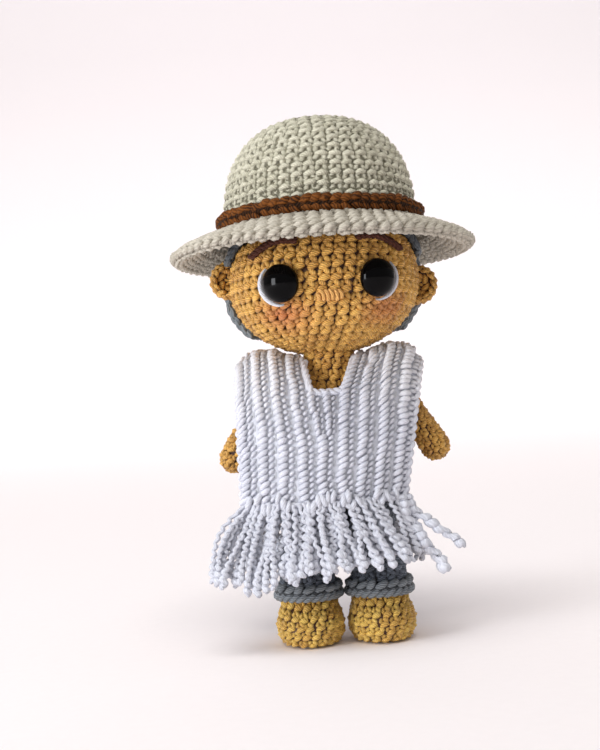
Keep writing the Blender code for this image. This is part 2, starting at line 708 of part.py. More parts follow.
def build_fringe(name, facing, hem, skew, figure, white):
    """A strip under the hem, whose cells grow down into separate strands."""
    bm = bmesh.new()
    cells = 2 * STRAND_COUNT - 1
    bmesh.ops.create_grid(bm, x_segments=cells, y_segments=1, size=1)
    half_x = hem - CLOTH / 2
    space = (2 * half_x - STRAND_COUNT * STRAND_WIDTH) / (STRAND_COUNT - 1)
    for vert in bm.verts:
        column = round((vert.co.x + 1) / 2 * cells)
        along = (column + 1) // 2 * STRAND_WIDTH + column // 2 * space - half_x
        thick = vert.co.y * STRAND_WIDTH / 2
        vert.co = hem_point(along / hem, facing, hem, skew)
        vert.co.y += thick
    grown = bmesh.ops.extrude_face_region(bm, geom=bm.faces[:])["geom"]
    lower = [item for item in grown if isinstance(item, bmesh.types.BMVert)]
    bmesh.ops.translate(bm, verts=lower, vec=(0, 0, -HEM_STRIP))
    roots = [item for item in grown if isinstance(item, bmesh.types.BMFace)]
    roots.sort(key=lambda face: face.calc_center_median().x)
    for number, face in enumerate(roots[::2]):
        grow_strand(bm, face, 2 * number / (STRAND_COUNT - 1) - 1, facing)
    return finish_mesh(name, bm, white, figure)


def hem_point(across, facing, hem, skew):
    """The middle of a panel's hem without its ribs, one gap lower."""
    depth = PONCHO_DEPTH * (1 - PONCHO_WRAP_SHARE * abs(across) ** 2.2)
    return Vector((across * hem + skew, facing * (GAP / 2 + depth), HEM_Z - GAP))


def grow_strand(bm, face, across, facing):
    """Extrude one cell down a curve that flares at the sides of the panel."""
    steps = 4
    length = STRAND_LENGTH + STRAND_VARIETY * sin(5.3 * across + 1.1 * facing)
    if facing < 0:
        left = max(-across - 0.15, 0.0) / 0.85
        right = max(across - 0.8, 0.0) / 0.2
        middle = sin(pi / 2 * min(max(across + 0.2, 0.0) / 0.5, 1.0)) * (1 - right)
        aside = FLARE_RIGHT * right + FLARE_MIDDLE * middle - FLARE_LEFT * left**1.2
    else:
        aside = FLARE_LEFT / 2 * across
    fall = sqrt(max(length**2 - aside**2, 0.0))
    root = face.calc_center_median()
    for step in range(1, steps + 1):
        share = step / steps
        face = bmesh.ops.extrude_discrete_faces(bm, faces=[face])["faces"][0]
        middle = face.calc_center_median()
        goal = root + Vector((aside * share**1.3, facing * FLARE_OUT * share, -fall * share))
        bmesh.ops.translate(bm, verts=face.verts, vec=goal - middle)


def build_poncho(figure, white):
    front = build_panel("poncho_front", -1, FRONT_HEM, FRONT_SKEW, figure, white)
    back = build_panel("poncho_back", 1, BACK_HEM, BACK_SKEW, figure, white)
    build_fringe("front_fringe", -1, FRONT_HEM, FRONT_SKEW, figure, white)
    build_fringe("back_fringe", 1, BACK_HEM, BACK_SKEW, figure, white)

    reach = NECK_RADIUS + NECK_EASE + CLOTH / 2
    low, high = SHOULDER_Z - NECKLINE_DEPTH, SHOULDER_Z + OVERRUN
    hole = [(0.0, low), (reach, low), (reach, high), (0.0, high)]
    neck_hole = turned("neck_hole", hole, LIMB_ROUND, None, figure)
    combine(front, neck_hole)
    combine(back, neck_hole)

    bm = bmesh.new()
    corners = ((NECKLINE_ASIDE - NECKLINE_BOTTOM / 2, low), (NECKLINE_ASIDE + NECKLINE_BOTTOM / 2, low),
               (NECKLINE_TOP / 2, high), (-NECKLINE_TOP / 2, high))
    face = bm.faces.new([bm.verts.new((x, 0, z)) for x, z in corners])
    grown = bmesh.ops.extrude_face_region(bm, geom=[face])["geom"]
    ahead = [item for item in grown if isinstance(item, bmesh.types.BMVert)]
    bmesh.ops.translate(bm, verts=ahead, vec=(0, -PONCHO_DEPTH - OVERRUN, 0))
    bmesh.ops.bevel(
        bm, geom=[edge for edge in bm.edges if abs(edge.verts[0].co.x - edge.verts[1].co.x) < WELD
                  and abs(edge.verts[0].co.z - low) < WELD and abs(edge.verts[1].co.z - low) < WELD],
        offset=NECKLINE_BOTTOM / 5, segments=3, profile=0.5, affect="EDGES", material=-1,
    )
    combine(front, finish_mesh("neckline", bm, None, figure))


def main():
    clear_scene()
    skin = yarn("ochre_yarn", (0.56, 0.31, 0.09))
    grey = yarn("grey_blue_yarn", (0.13, 0.16, 0.19))
    cream = yarn("cream_yarn", (0.66, 0.63, 0.50))
    white = yarn("white_yarn", (0.80, 0.81, 0.85))
    brown = yarn("brown_yarn", (0.19, 0.07, 0.02))
    cotton = yarn("fibre_fill", (0.85, 0.85, 0.83), 1.0)
    black = yarn("black_eye_plastic", (0.01, 0.01, 0.012), 0.08)
    clear = yarn("washer_plastic", (0.75, 0.75, 0.73), 0.4)

    figure = empty("figure", (0, 0, 0))
    build_body(figure, skin, cotton, grey)
    build_arm("left", 1, figure, skin)
    build_arm("right", -1, figure, skin)
    build_poncho(figure, white)

    pivot = empty("head_pivot", (0, 0, HEAD_Z), figure)
    head, stuffing = build_head(pivot, skin, cotton)
    for side, name in ((1, "left"), (-1, "right")):
        build_ear(f"{name}_ear", side, pivot, skin)
        build_eye(f"{name}_eye", side, head, stuffing, pivot, black, clear, white)
        build_brow(f"{name}_eyebrow", side, pivot, brown)
    build_nose(pivot, skin)
    build_hair(pivot, grey)
    build_hat(pivot, cream, brown)


main()
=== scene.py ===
from math import acos, cos, pi, radians, sin, sqrt, tau

import bmesh
import bpy
import numpy as np
from mathutils import Matrix, Vector


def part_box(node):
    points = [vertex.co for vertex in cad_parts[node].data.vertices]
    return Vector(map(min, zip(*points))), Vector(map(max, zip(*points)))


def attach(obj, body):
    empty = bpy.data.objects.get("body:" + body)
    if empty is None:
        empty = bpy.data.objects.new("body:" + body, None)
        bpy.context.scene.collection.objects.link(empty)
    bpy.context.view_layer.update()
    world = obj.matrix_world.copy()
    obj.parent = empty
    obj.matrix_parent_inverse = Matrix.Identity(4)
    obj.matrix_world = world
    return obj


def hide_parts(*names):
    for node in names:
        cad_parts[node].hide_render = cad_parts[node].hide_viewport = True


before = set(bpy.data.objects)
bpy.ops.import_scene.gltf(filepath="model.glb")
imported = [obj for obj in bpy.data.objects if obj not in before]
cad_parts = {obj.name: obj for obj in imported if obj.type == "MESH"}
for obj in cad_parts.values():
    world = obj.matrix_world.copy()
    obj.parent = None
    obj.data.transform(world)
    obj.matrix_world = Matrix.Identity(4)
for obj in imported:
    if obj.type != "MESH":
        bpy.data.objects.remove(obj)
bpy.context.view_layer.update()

scene = bpy.context.scene
mm = 0.001


# Materials: shader maths written as expressions on one socket

class Wire:
    def __init__(self, tree, socket=None):
        self.tree = tree
        self.socket = socket

    def add(self, kind, settings=None, inputs=None, output=0):
        node = self.tree.nodes.new(kind)
        for key, value in (settings or {}).items():
            setattr(node, key, value)
        for key, value in (inputs or {}).items():
            if isinstance(value, Wire):
                self.tree.links.new(value.socket, node.inputs[key])
            else:
                node.inputs[key].default_value = value
        return Wire(self.tree, node.outputs[output])

    def maths(self, operation, *values):
        return self.add("ShaderNodeMath", {"operation": operation}, dict(enumerate(values)))

    def __add__(self, other):
        return self.maths("ADD", self, other)

    def __rsub__(self, other):
        return self.maths("SUBTRACT", other, self)

    def __mul__(self, other):
        return self.maths("MULTIPLY", self, other)

    def __pow__(self, other):
        return self.maths("POWER", self, other)

    __radd__ = __add__
    __rmul__ = __mul__

    def place(self):
        return self.add("ShaderNodeTexCoord", output="Object")

    def value(self, name):
        return self.add("ShaderNodeAttribute", {"attribute_name": name}, output="Fac")

    def noise(self, spot, scale, detail, **more):
        inputs = {"Vector": spot, "Scale": scale, "Detail": detail, **more}
        return self.add("ShaderNodeTexNoise", None, inputs)

    def bump(self, height, strength, distance):
        inputs = {"Height": height, "Strength": strength, "Distance": distance}
        return self.add("ShaderNodeBump", None, inputs)

    def sine(self):
        return self.maths("SINE", self)

    def clipped(self):
        return self.maths("MINIMUM", self.maths("MAXIMUM", self, 0.0), 1.0)

    def mix(self, first, second):
        # self is the factor, and the colours are tuples or wires
        return self.add("ShaderNodeMix", {"data_type": "RGBA"}, {0: self, 6: first, 7: second}, 2)

    def feed(self, node, name):
        self.tree.links.new(self.socket, node.inputs[name])


def colour(red, green, blue):
    # from 0-255 as seen on screen to the renderer's linear values
    def linear(value):
        value = value / 255
        return value / 12.92 if value <= 0.04045 else ((value + 0.055) / 1.055) ** 2.4
    return (linear(red), linear(green), linear(blue), 1.0)


def newMaterial(name, roughness, sheen=0.0, shine=0.5):
    material = bpy.data.materials.new(name)
    material.use_nodes = True
    shader = material.node_tree.nodes["Principled BSDF"]
    shader.inputs["Roughness"].default_value = roughness
    shader.inputs["Specular IOR Level"].default_value = shine
    shader.inputs["Sheen Weight"].default_value = sheen
    shader.inputs["Sheen Roughness"].default_value = 0.5
    return material, shader, Wire(material.node_tree)


def blob(wire, spot, centre, reach):
    # 1 in the middle of a soft round patch, 0 at its edge
    away = wire.add("ShaderNodeVectorMath", {"operation": "SUBTRACT"}, {0: spot, 1: centre})
    away = wire.add("ShaderNodeVectorMath", {"operation": "DIVIDE"}, {0: away, 1: reach})
    length = wire.add("ShaderNodeVectorMath", {"operation": "LENGTH"}, {0: away}, "Value")
    return (1.0 - length).clipped()


def yarnMaterial(name, look, patches=()):
    # plies wind round each strand along its UV map, with loose fibres over them; painted shade darkens the
    # ply seams and the sunken parts of the yarn
    material, shader, wire = newMaterial(name, look["roughness"], look["sheen"], look["shine"])
    spot = wire.place()
    along = wire.add("ShaderNodeSeparateXYZ", None, {0: wire.add("ShaderNodeTexCoord", output="UV")})
    around = Wire(wire.tree, along.socket.node.outputs[1])
    paintedShade, tone, turns = wire.value("paintedShade"), wire.value("tone"), wire.value("turns")
    cloud, wobble = wire.noise(spot, 110.0, 1.0), wire.noise(spot, 420.0, 1.0)
    fibre = wire.noise(spot, look["fibreScale"], 3.0, Roughness=0.6)
    ply = ((around * look["plies"] + along * turns + wobble * 1.8) * tau).sine() * 0.5 + 0.5
    # painted shade: the seams between plies are darker by the look's seam share; tone, fibre and cloud are
    # the yarn's own colour
    bright = (tone * look["tones"] + ply * look["seam"] + fibre * 0.5 + cloud * 0.4
              + (0.25 - 0.5 * look["tones"] - 0.5 * look["seam"])).clipped()
    shade = bright.mix(look["dark"], look["light"])
    for tint, places in patches:
        for centre, reach, share in places:
            shade = (blob(wire, spot, centre, reach) * share).mix(shade, tint)
    # painted shade: sunken yarn and ply grooves turn towards the shadow colour
    shade = ((paintedShade + (1.0 - ply) * 0.12) * look["hollow"]).clipped().mix(shade, look["shadow"])
    shade.feed(shader, "Base Color")
    height = ply ** 0.7 * 0.6 + fibre * 0.5
    wire.bump(height, look["relief"], look["ply"]).feed(shader, "Normal")
    return material


def yarnLook(light, dark, shadow, **other):
    look = dict(light=colour(*light), dark=colour(*dark), shadow=colour(*shadow), roughness=0.62, sheen=0.06,
                shine=0.35, plies=6.0, fibreScale=2600.0, seam=0.5, tones=0.4, hollow=0.85, relief=0.9,
                ply=0.35 * mm)
    look.update(other)
    return look


# Strands and stitches

def yarnMesh(strands, sides=6):
    # round strands along rows of x, y, z and radius, as one closed mesh
    curve = bpy.data.curves.new("strand", "CURVE")
    curve.dimensions = "3D"
    curve.bevel_depth = 1.0
    curve.bevel_resolution = sides // 2 - 2
    curve.use_fill_caps = True
    for strand in strands:
        spline = curve.splines.new("POLY")
        spline.points.add(len(strand) - 1)
        spline.points.foreach_set("co", [value for row in strand for value in (*row[:3], 1.0)])
        spline.points.foreach_set("radius", [row[3] for row in strand])
    item = bpy.data.objects.new("strand", curve)
    scene.collection.objects.link(item)
    made = item.evaluated_get(bpy.context.evaluated_depsgraph_get())
    mesh = bpy.data.meshes.new_from_object(made)
    bpy.data.objects.remove(item, do_unlink=True)
    bpy.data.curves.remove(curve)
    return mesh


def smoothed(points, steps):
    # a soft curve through rows of numbers, with steps rows for each gap
    rows = np.array(points, float)
    rows = np.vstack([2 * rows[0] - rows[1], rows, 2 * rows[-1] - rows[-2]])
    made = []
    for a, b, c, d in zip(rows, rows[1:], rows[2:], rows[3:]):
        for t in np.arange(steps) / steps:
            made.append(0.5 * (2 * b + (c - a) * t + (2 * a - 5 * b + 4 * c - d) * t * t
                               + (3 * b - a - 3 * c + d) * t ** 3))
    made.append(rows[-2])
    return np.array(made)


def readPoints(mesh):
    flat = np.empty(len(mesh.vertices) * 3)
    mesh.vertices.foreach_get("co", flat)
    return flat.reshape(-1, 3)


def meshFrom(made, name):
    mesh = bpy.data.meshes.new(name)
    made.to_mesh(mesh)
    made.free()
    return mesh


def yarnValues(mesh, paintedShade, tone, turns):
    # how much painted shade the yarn gets at each point (more where it lies sunken), how bright it is, and
    # how often its plies turn
    for name, values in (("paintedShade", paintedShade), ("tone", tone), ("turns", turns)):
        layer = mesh.attributes.get(name) or mesh.attributes.new(name, "FLOAT", "POINT")
        layer.data.foreach_set("value", np.broadcast_to(values, len(mesh.vertices)).astype(float))
    return mesh


def distancesOf(route):
    # how far along a route each of its points lies
    return np.concatenate([[0], np.cumsum(np.linalg.norm(np.diff(route, axis=0), axis=1))])


def columnsAt(distance, along, table):
    # every column of a table of numbers, read at a distance
    return [np.interp(distance, along, table[:, column]) for column in range(table.shape[1])]


def normalsOf(surface, across, along):
    # the way out of a surface, from two short steps on it
    step = 1e-5
    side = surface(across + step * 10, along) - surface(across - step * 10, along)
    up = surface(across, along + step) - surface(across, along - step)
    out = np.cross(side, up)
    length = np.linalg.norm(out, axis=1, keepdims=True)
    return out / np.maximum(length, 1e-20)


def layStitches(stitch, cells, surface, seed=1, wander=0.03, lift=0.0, turns=-8.0, lean=0.1, rowGapShade=0.0,
                ends=(-1.0, 1.0)):
    # one copy of the stitch for each cell: across, along, width, height, thickness
    rowEdge, stitchDepth = 0.16, 0.42   # in shares of a row and of a stitch's width
    cells = np.array(cells, float)
    random = np.random.RandomState(seed)
    made = bmesh.new()
    for _ in cells:
        made.from_mesh(stitch)
    mesh = meshFrom(made, "stitches")
    count = len(stitch.vertices)
    points = readPoints(mesh).reshape(len(cells), count, 3)
    moved = random.normal(0, wander, (len(cells), 1, 2))
    size = 1 + random.normal(0, wander, (len(cells), 1))
    tilt = random.normal(0, lean, (len(cells), 1))
    side = points[:, :, 0] * np.cos(tilt) - (points[:, :, 1] - 0.5) * np.sin(tilt)
    up = points[:, :, 0] * np.sin(tilt) + (points[:, :, 1] - 0.5) * np.cos(tilt) + 0.5
    across = cells[:, 0, None] + (side + moved[:, :, 0]) * cells[:, 2, None]
    along = cells[:, 1, None] + (up + moved[:, :, 1]) * cells[:, 3, None]
    rise = points[:, :, 2] * cells[:, 4, None] * size + lift
    flatAcross, flatAlong = across.ravel(), np.clip(along.ravel(), *ends)   # no further than a pole
    place = surface(flatAcross, flatAlong)
    place += normalsOf(surface, flatAcross, flatAlong) * rise.ravel()[:, None]
    mesh.vertices.foreach_set("co", place.ravel())
    # painted shade: the yarn is darker the lower it lies below the stitch's top, and more so at the row edges
    # by rowGapShade
    border = np.clip(1 - np.abs(np.abs(points[:, :, 1] - 0.5) - 0.5) / rowEdge, 0, 1)
    low = np.clip(0.10 - points[:, :, 2] / stitchDepth + border * rowGapShade, 0, 1)
    return yarnValues(mesh, low.ravel(), np.repeat(random.uniform(0, 1, len(cells)), count), turns)


def shadedLining(surface, across, along, columns, rows, sink, closed=True, wall=0.0, paintedShade=1.0, keep=None):
    # the sheet under the stitches, coloured with painted shade where it shows between them
    made = bmesh.new()
    bmesh.ops.create_grid(made, x_segments=columns, y_segments=rows, size=1, calc_uvs=True)
    grid = np.array([vert.co for vert in made.verts])
    flatAcross = across[0] + (grid[:, 0] + 1) / 2 * (across[1] - across[0])
    flatAlong = along[0] + (grid[:, 1] + 1) / 2 * (along[1] - along[0])
    place = surface(flatAcross, flatAlong) - normalsOf(surface, flatAcross, flatAlong) * sink
    for vert, spot in zip(made.verts, place):
        vert.co = spot
    if keep:
        stray = [face for face in made.faces if not keep(face.calc_center_median())]
        bmesh.ops.delete(made, geom=stray, context="FACES")
    if closed:
        bmesh.ops.remove_doubles(made, verts=made.verts, dist=0.02 * mm)
    if wall:
        bmesh.ops.solidify(made, geom=made.faces, thickness=wall)
        bmesh.ops.recalc_face_normals(made, faces=made.faces)
    return yarnValues(meshFrom(made, "shadedLining"), paintedShade, 0.4, 0.0)


def cordMesh(strands, sides=6, turns=8.0, tone=0.6, paintedShade=0.0):
    return yarnValues(yarnMesh(strands, sides), paintedShade, tone, turns)


def chainOf(route, step, thick, middle):
    # short fat strands in a row along a route, standing out from a middle point
    route = np.array(route)
    along = distancesOf(route)
    strands = []
    for place in np.arange(step * 0.5, along[-1] - step * 0.4, step):
        low, spot, high = [np.array(columnsAt(place + share * step, along, route))
                           for share in (-0.8, 0, 0.8)]
        out = spot - middle
        out *= thick / np.linalg.norm(out)
        strands.append([(*(low - out * 0.6), thick * 0.55), (*(spot + out * 0.2), thick),
                        (*(high - out * 0.5), thick * 0.6)])
    return strands


def ropeOf(route, thick, pitch, middle):
    # two strands twisted round each other along a route
    route = np.array(route)
    along = distancesOf(route)
    places = np.linspace(0, along[-1], int(along[-1] / pitch * 10))
    spots = np.stack(columnsAt(places, along, route), 1)
    ahead = np.gradient(spots, axis=0)
    out = spots - np.array(middle)
    out /= np.linalg.norm(out, axis=1)[:, None]
    aside = np.cross(ahead / np.linalg.norm(ahead, axis=1)[:, None], out)
    strands = []
    for phase in (0, pi):
        spin = (phase + tau * places / pitch)[:, None]
        twisted = spots + (out * np.cos(spin) * 0.6 + aside * np.sin(spin)) * thick * 0.5
        strands.append([(*spot, thick * 0.78) for spot in twisted])
    return strands


def makePiece(name, meshes, material, body, replaces=()):
    # joins meshes into one object that rides on a body
    made = bmesh.new()
    for mesh in meshes:
        made.from_mesh(mesh)
    mesh = meshFrom(made, name)
    for part in meshes:
        bpy.data.meshes.remove(part)
    for layer in mesh.uv_layers[1:]:
        mesh.uv_layers.remove(layer)
    mesh.materials.append(material)
    mesh.shade_smooth()
    item = bpy.data.objects.new(name, mesh)
    scene.collection.objects.link(item)
    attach(item, body)
    if replaces:
        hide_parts(*replaces)
    return item


# Surfaces, each a function of a turn (0 faces the viewer) and a distance along the outline

def measured(outline):
    # the outline and the distance along it at each of its points
    outline = np.array(outline, float)
    return outline, distancesOf(outline[:, :2])


def follow(distance, along, values):
    # reads values at a distance, and goes straight on past both ends
    first = (values[1] - values[0]) / (along[1] - along[0])
    last = (values[-1] - values[-2]) / (along[-1] - along[-2])
    return (np.interp(distance, along, values) + np.minimum(distance - along[0], 0) * first
            + np.maximum(distance - along[-1], 0) * last)


def onRing(radius, turn, height, middle=0.0):
    # points on level rings whose centres lie at x = middle
    return np.stack([middle + radius * np.sin(turn), -radius * np.cos(turn), height + 0 * turn], 1)


def turnedSurface(outline, level=0.0):
    # outline of (radius, height), turned round an upright line, from a level up
    outline, along = measured(outline)

    def place(turn, distance):
        radius, height = [follow(distance, along, outline[:, column]) for column in (0, 1)]
        return onRing(radius, turn, level + height)
    return place, along[-1], lambda distance: np.interp(distance, along, outline[:, 0])


def roundCells(total, radiusAt, width, height, most=None, keep=None, start=0.0, multiple=6, stagger=0.0):
    # rows of stitches along a turned outline; a full row has most stitches, aligned in columns
    rows = max(1, round(total / height))
    step = total / rows
    cells = []
    for row in range(rows):
        radius = float(radiusAt(start + (row + 0.5) * step))
        count = max(6, multiple * round(tau * radius / width / multiple))
        if most and count > most - multiple:
            count = most
        for number in range(count):
            turn = tau * (number + stagger * row) / count
            wide = tau / count
            thick = sqrt(max(tau * radius / count, width * 0.6) * step)
            if keep is None or keep(turn, start + (row + 0.5) * step):
                cells.append((turn, start + row * step, wide, step, thick))
    return cells


def ellipseOutline(radius, lower, upper, start, end, offset=0.0):
    # half an egg from the angle start to the angle end
    outline, steps = [], 90
    for number in range(steps + 1):
        angle = start + (end - start) * number / steps
        rise = lower if angle < 0 else upper
        outline.append(((radius + offset) * cos(angle), (rise + offset) * sin(angle)))
    return outline


# Stitches in units of their own width: x across, y along, z out, radius

knotStitch = yarnMesh([
    [(-0.40, -0.06, -0.46, 0.16), (-0.29, 0.14, -0.06, 0.28), (-0.04, 0.32, 0.00, 0.35),
     (0.23, 0.42, -0.04, 0.30), (0.42, 0.50, -0.46, 0.15)],
    [(-0.10, 1.08, -0.40, 0.14), (0.06, 0.92, 0.04, 0.22), (0.25, 0.74, 0.08, 0.23),
     (0.44, 0.56, -0.40, 0.14)],
    [(-0.44, 0.40, -0.40, 0.12), (-0.38, 0.62, 0.00, 0.20), (-0.29, 0.86, 0.00, 0.20),
     (-0.22, 1.06, -0.40, 0.12)],
])
archStitch = yarnMesh([
    [(-0.43, 0.46, -0.42, 0.14), (-0.27, 0.58, 0.02, 0.27), (0.02, 0.70, 0.09, 0.31),
     (0.27, 0.66, 0.02, 0.27), (0.43, 0.58, -0.42, 0.14)],
    [(-0.34, -0.16, -0.38, 0.17), (-0.34, 0.10, -0.03, 0.23), (-0.27, 0.36, -0.02, 0.22),
     (-0.12, 0.6, -0.3, 0.14)],
    [(0.32, -0.14, -0.38, 0.16), (0.31, 0.12, -0.04, 0.22), (0.25, 0.36, -0.04, 0.21),
     (0.12, 0.6, -0.3, 0.14)],
])
puffStitch = yarnMesh([
    [(-0.46, -0.06, -0.46, 0.18), (-0.34, 0.14, -0.04, 0.28), (-0.10, 0.36, 0.05, 0.33),
     (0.14, 0.58, 0.05, 0.32), (0.34, 0.80, -0.04, 0.26), (0.46, 0.96, -0.46, 0.16)],
    [(0.14, -0.14, -0.46, 0.15), (0.28, 0.10, -0.06, 0.23), (0.38, 0.36, -0.04, 0.22),
     (0.46, 0.60, -0.46, 0.14)],
])
ropeStitch, ropeBack = [yarnMesh([
    [(-0.62 * way, 0.02, -0.44, 0.20), (-0.32 * way, 0.26, -0.02, 0.38), (0.02 * way, 0.50, 0.08, 0.44),
     (0.34 * way, 0.74, -0.02, 0.37), (0.62 * way, 0.98, -0.44, 0.20)],
]) for way in (1, -1)]


# The finishes of the doll's yarns: colours, shadow colours and shares of painted shade, and gloss

skinLook = yarnLook((255, 200, 102), (154, 90, 26), (60, 26, 4), seam=0.55, tones=0.55, hollow=1.0,
                    roughness=0.46, shine=0.5)
# painted light: the feet use a brighter copy of the skin yarn, against the shade low under the poncho
footLook = yarnLook((255, 214, 108), (178, 108, 30), (70, 34, 4), seam=0.6, tones=0.55, hollow=1.0,
                    roughness=0.46, shine=0.5)
greyLook = yarnLook((122, 130, 142), (46, 52, 64), (16, 20, 26), tones=0.6, seam=0.7)
hairLook = yarnLook((140, 148, 152), (72, 80, 86), (26, 30, 34))
noseLook = yarnLook((255, 198, 116), (190, 118, 54), (104, 56, 22))
# painted shade: the brim uses a darker, greyer copy of the crown's cream yarn, for the shade it lies in
brimLook = yarnLook((208, 201, 186), (168, 160, 144), (122, 112, 96), hollow=0.65,
                    seam=0.4, relief=0.6)
cuffLook = yarnLook((148, 154, 160), (72, 78, 82), (24, 26, 30), tones=0.6)
creamLook = yarnLook((230, 226, 205), (180, 176, 151), (104, 100, 77), hollow=0.8, seam=0.55)
brownLook = yarnLook((124, 72, 28), (38, 19, 8), (13, 6, 2), sheen=0.0, shine=0.12,
                     seam=0.8, tones=0.6, hollow=1.0)
browLook = yarnLook((96, 50, 34), (40, 19, 12), (18, 8, 5), sheen=0.0, seam=0.8)
whiteLook = yarnLook((228, 229, 239), (197, 200, 212), (154, 158, 160),
                     hollow=0.42, seam=0.35, relief=0.5)
threadLook = yarnLook((248, 249, 254), (206, 208, 220), (160, 162, 170), seam=0.5)
# painted shade: the fringe uses a darker copy of the poncho's white yarn
fringeLook = yarnLook((220, 222, 232), (184, 187, 198), (128, 132, 136),
                      hollow=0.5, seam=0.3, relief=0.6)

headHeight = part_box("head")[1].z - 32.0 * mm   # the head's widest level
blushTint = colour(216, 122, 78)
skinYarn = yarnMaterial("skinYarn", skinLook)
faceYarn = yarnMaterial("faceYarn", skinLook, [(blushTint, [
    ((side * 17.5 * mm + 2.4 * mm, -25 * mm, headHeight - 11.8 * mm), (12.5 * mm, 15 * mm, 8.5 * mm), 0.85)
    for side in (-1, 1)])])
footYarn = yarnMaterial("footYarn", footLook)
greyYarn = yarnMaterial("greyYarn", greyLook)
cuffYarn = yarnMaterial("cuffYarn", cuffLook)
creamYarn = yarnMaterial("creamYarn", creamLook)
# painted light: the white yarn is brighter over the shoulders, against the shade of the head and hat
whiteYarn = yarnMaterial("whiteYarn", whiteLook, [(colour(254, 253, 255), [
    ((side * 22 * mm, -14 * mm, 93 * mm), (22 * mm, 40 * mm, 24 * mm), 1.0) for side in (-1, 1)])])
threadYarn = yarnMaterial("threadYarn", threadLook)
clothYarn = yarnMaterial("clothYarn", whiteLook)
fringeYarn = yarnMaterial("fringeYarn", fringeLook)
armYarn = yarnMaterial("armYarn", skinLook)
noseYarn = yarnMaterial("noseYarn", noseLook)
browYarn = yarnMaterial("browYarn", browLook)
bandYarn = yarnMaterial("bandYarn", brownLook)
# painted shade: the hair at the temples is darker where the hat's brim shades it
hairYarn = yarnMaterial("hairYarn", hairLook, [(colour(52, 58, 66), [
    ((side * 29 * mm, -10 * mm, headHeight + 13 * mm), (12 * mm, 16 * mm, 12 * mm), 1.0)
    for side in (-1, 1)])])
brimYarn = yarnMaterial("brimYarn", brimLook)
print("materials made")


# Head

headShape = dict(radius=31.7 * mm, lower=23.7 * mm, upper=32.0 * mm, opening=8.8 * mm,
                 stitchWidth=4.1 * mm, rowHeight=3.95 * mm, mostStitches=48, stagger=0.2)
pole = 0.2 * mm   # stitches stop this short of a pole
hairShape = dict(offset=2.2 * mm, taper=1.5 * mm, nape=-15.5 * mm, side=3.2 * mm,
                 earLow=-5.8 * mm, earHigh=8.2 * mm, behindEar=5.1 * mm, temple=-7.5 * mm,
                 brow=19.0 * mm, stitchWidth=3.8 * mm, rowHeight=3.7 * mm,
                 rim=1.35 * mm, rimPitch=6.0 * mm, rimSink=0.9 * mm)


def hairFront(height):
    # where the hair begins, from front to back, at a height on the head
    shape = hairShape
    middle = shape["temple"] - 4 * mm
    return np.interp(height, [-1, shape["earLow"], shape["earLow"], shape["earHigh"],
                              shape["earHigh"], (shape["earHigh"] + shape["brow"]) / 2,
                              shape["brow"], 1],
                     [shape["side"], shape["side"], shape["behindEar"], shape["behindEar"],
                      shape["temple"], middle, -44 * mm, -44 * mm])


def buildHead():
    shape = headShape
    start = -acos(shape["opening"] / shape["radius"])
    outline = ellipseOutline(shape["radius"], shape["lower"], shape["upper"], start, pi / 2)
    surface, total, radiusAt = turnedSurface(outline, headHeight)
    heights = np.array(outline)[:, 1]
    along = measured(outline)[1]

    def bare(turn, distance):
        height = float(np.interp(distance, along, heights))
        forward = -float(radiusAt(distance)) * cos(turn)
        return height < hairShape["nape"] + 2 * mm or forward < hairFront(height) + 3 * mm
    cells = roundCells(total, radiusAt, shape["stitchWidth"], shape["rowHeight"],
                       shape["mostStitches"], bare, stagger=shape["stagger"])
    skin = layStitches(knotStitch, cells, surface, seed=3, ends=(-1.0, total - pole), lift=-1.1 * mm,
                       wander=0.04, rowGapShade=0.6)
    under = shadedLining(surface, (0, tau), (0.05 * mm, total), 72, 40, 1.5 * mm, wall=0.5 * mm)
    makePiece("head_skin", [skin, under], faceYarn, "head", ["head"])


buildHead()
print("head made")


earShape = dict(reach=6.9 * mm, half=6.1 * mm, level=0.95 * mm, askew=2.6 * mm, back=1.2 * mm, step=2.3 * mm,
                cup=208, rows=[(0.0, 2.0), (1.9, 3.9), (4.1, 6.6), (6.3, 8.6), (8.4, 10.8), (10.6, 13.2),
                               (13.0, 16.0)],
                outline=[(0.0, -1.0), (0.32, -1.2), (0.56, -2.1), (0.72, -3.1), (0.86, -2.8),
                         (0.97, -1.4), (1.0, 0.2), (0.94, 1.6), (0.74, 2.6), (0.4, 3.3), (0.0, 3.5)])


def buildEar(name, side):
    # rows of slanting lumps round a cup: the inside first, then the rolled rim and the back
    shape = earShape
    size = (shape["reach"] + shape["half"]) / 2
    outline, along = measured([(reach * size, depth * mm) for reach, depth in shape["outline"]])
    total, cup = along[-1], radians(shape["cup"])
    level = headHeight + shape["level"] - side * shape["askew"]

    def surface(turn, distance):
        turn = -side * turn
        reach = follow(distance, along, outline[:, 0])
        depth = follow(distance, along, outline[:, 1])
        return np.stack([side * (headShape["radius"] - 0.3 * mm + reach * np.cos(turn) * 1.02),
                         shape["back"] + depth, level + reach * np.sin(turn)], 1)
    meshes = []
    for number, (low, high) in enumerate(shape["rows"]):
        low, high = low * mm, high * mm
        radius = float(np.interp((low + high) / 2, along, outline[:, 0]))
        count = max(3, round(cup * radius / shape["step"]))
        wide = cup / count
        cells = [(-cup / 2 + wide * (place + 0.5), low, min(wide, 0.8), high - low, (high - low) * 1.05)
                 for place in range(count)]
        meshes.append(layStitches((ropeStitch, ropeBack)[number % 2], cells, surface, seed=11 + number,
                                  lift=-0.75 * mm, wander=0.05))
    edge = radians(shape["cup"] / 2 + 1)
    meshes.append(shadedLining(surface, (-edge, edge), (0.02 * mm, total - 0.02 * mm), 24, 20, 0.9 * mm))
    makePiece(f"{name}_ear_skin", meshes, skinYarn, "head", [f"{name}_ear"])


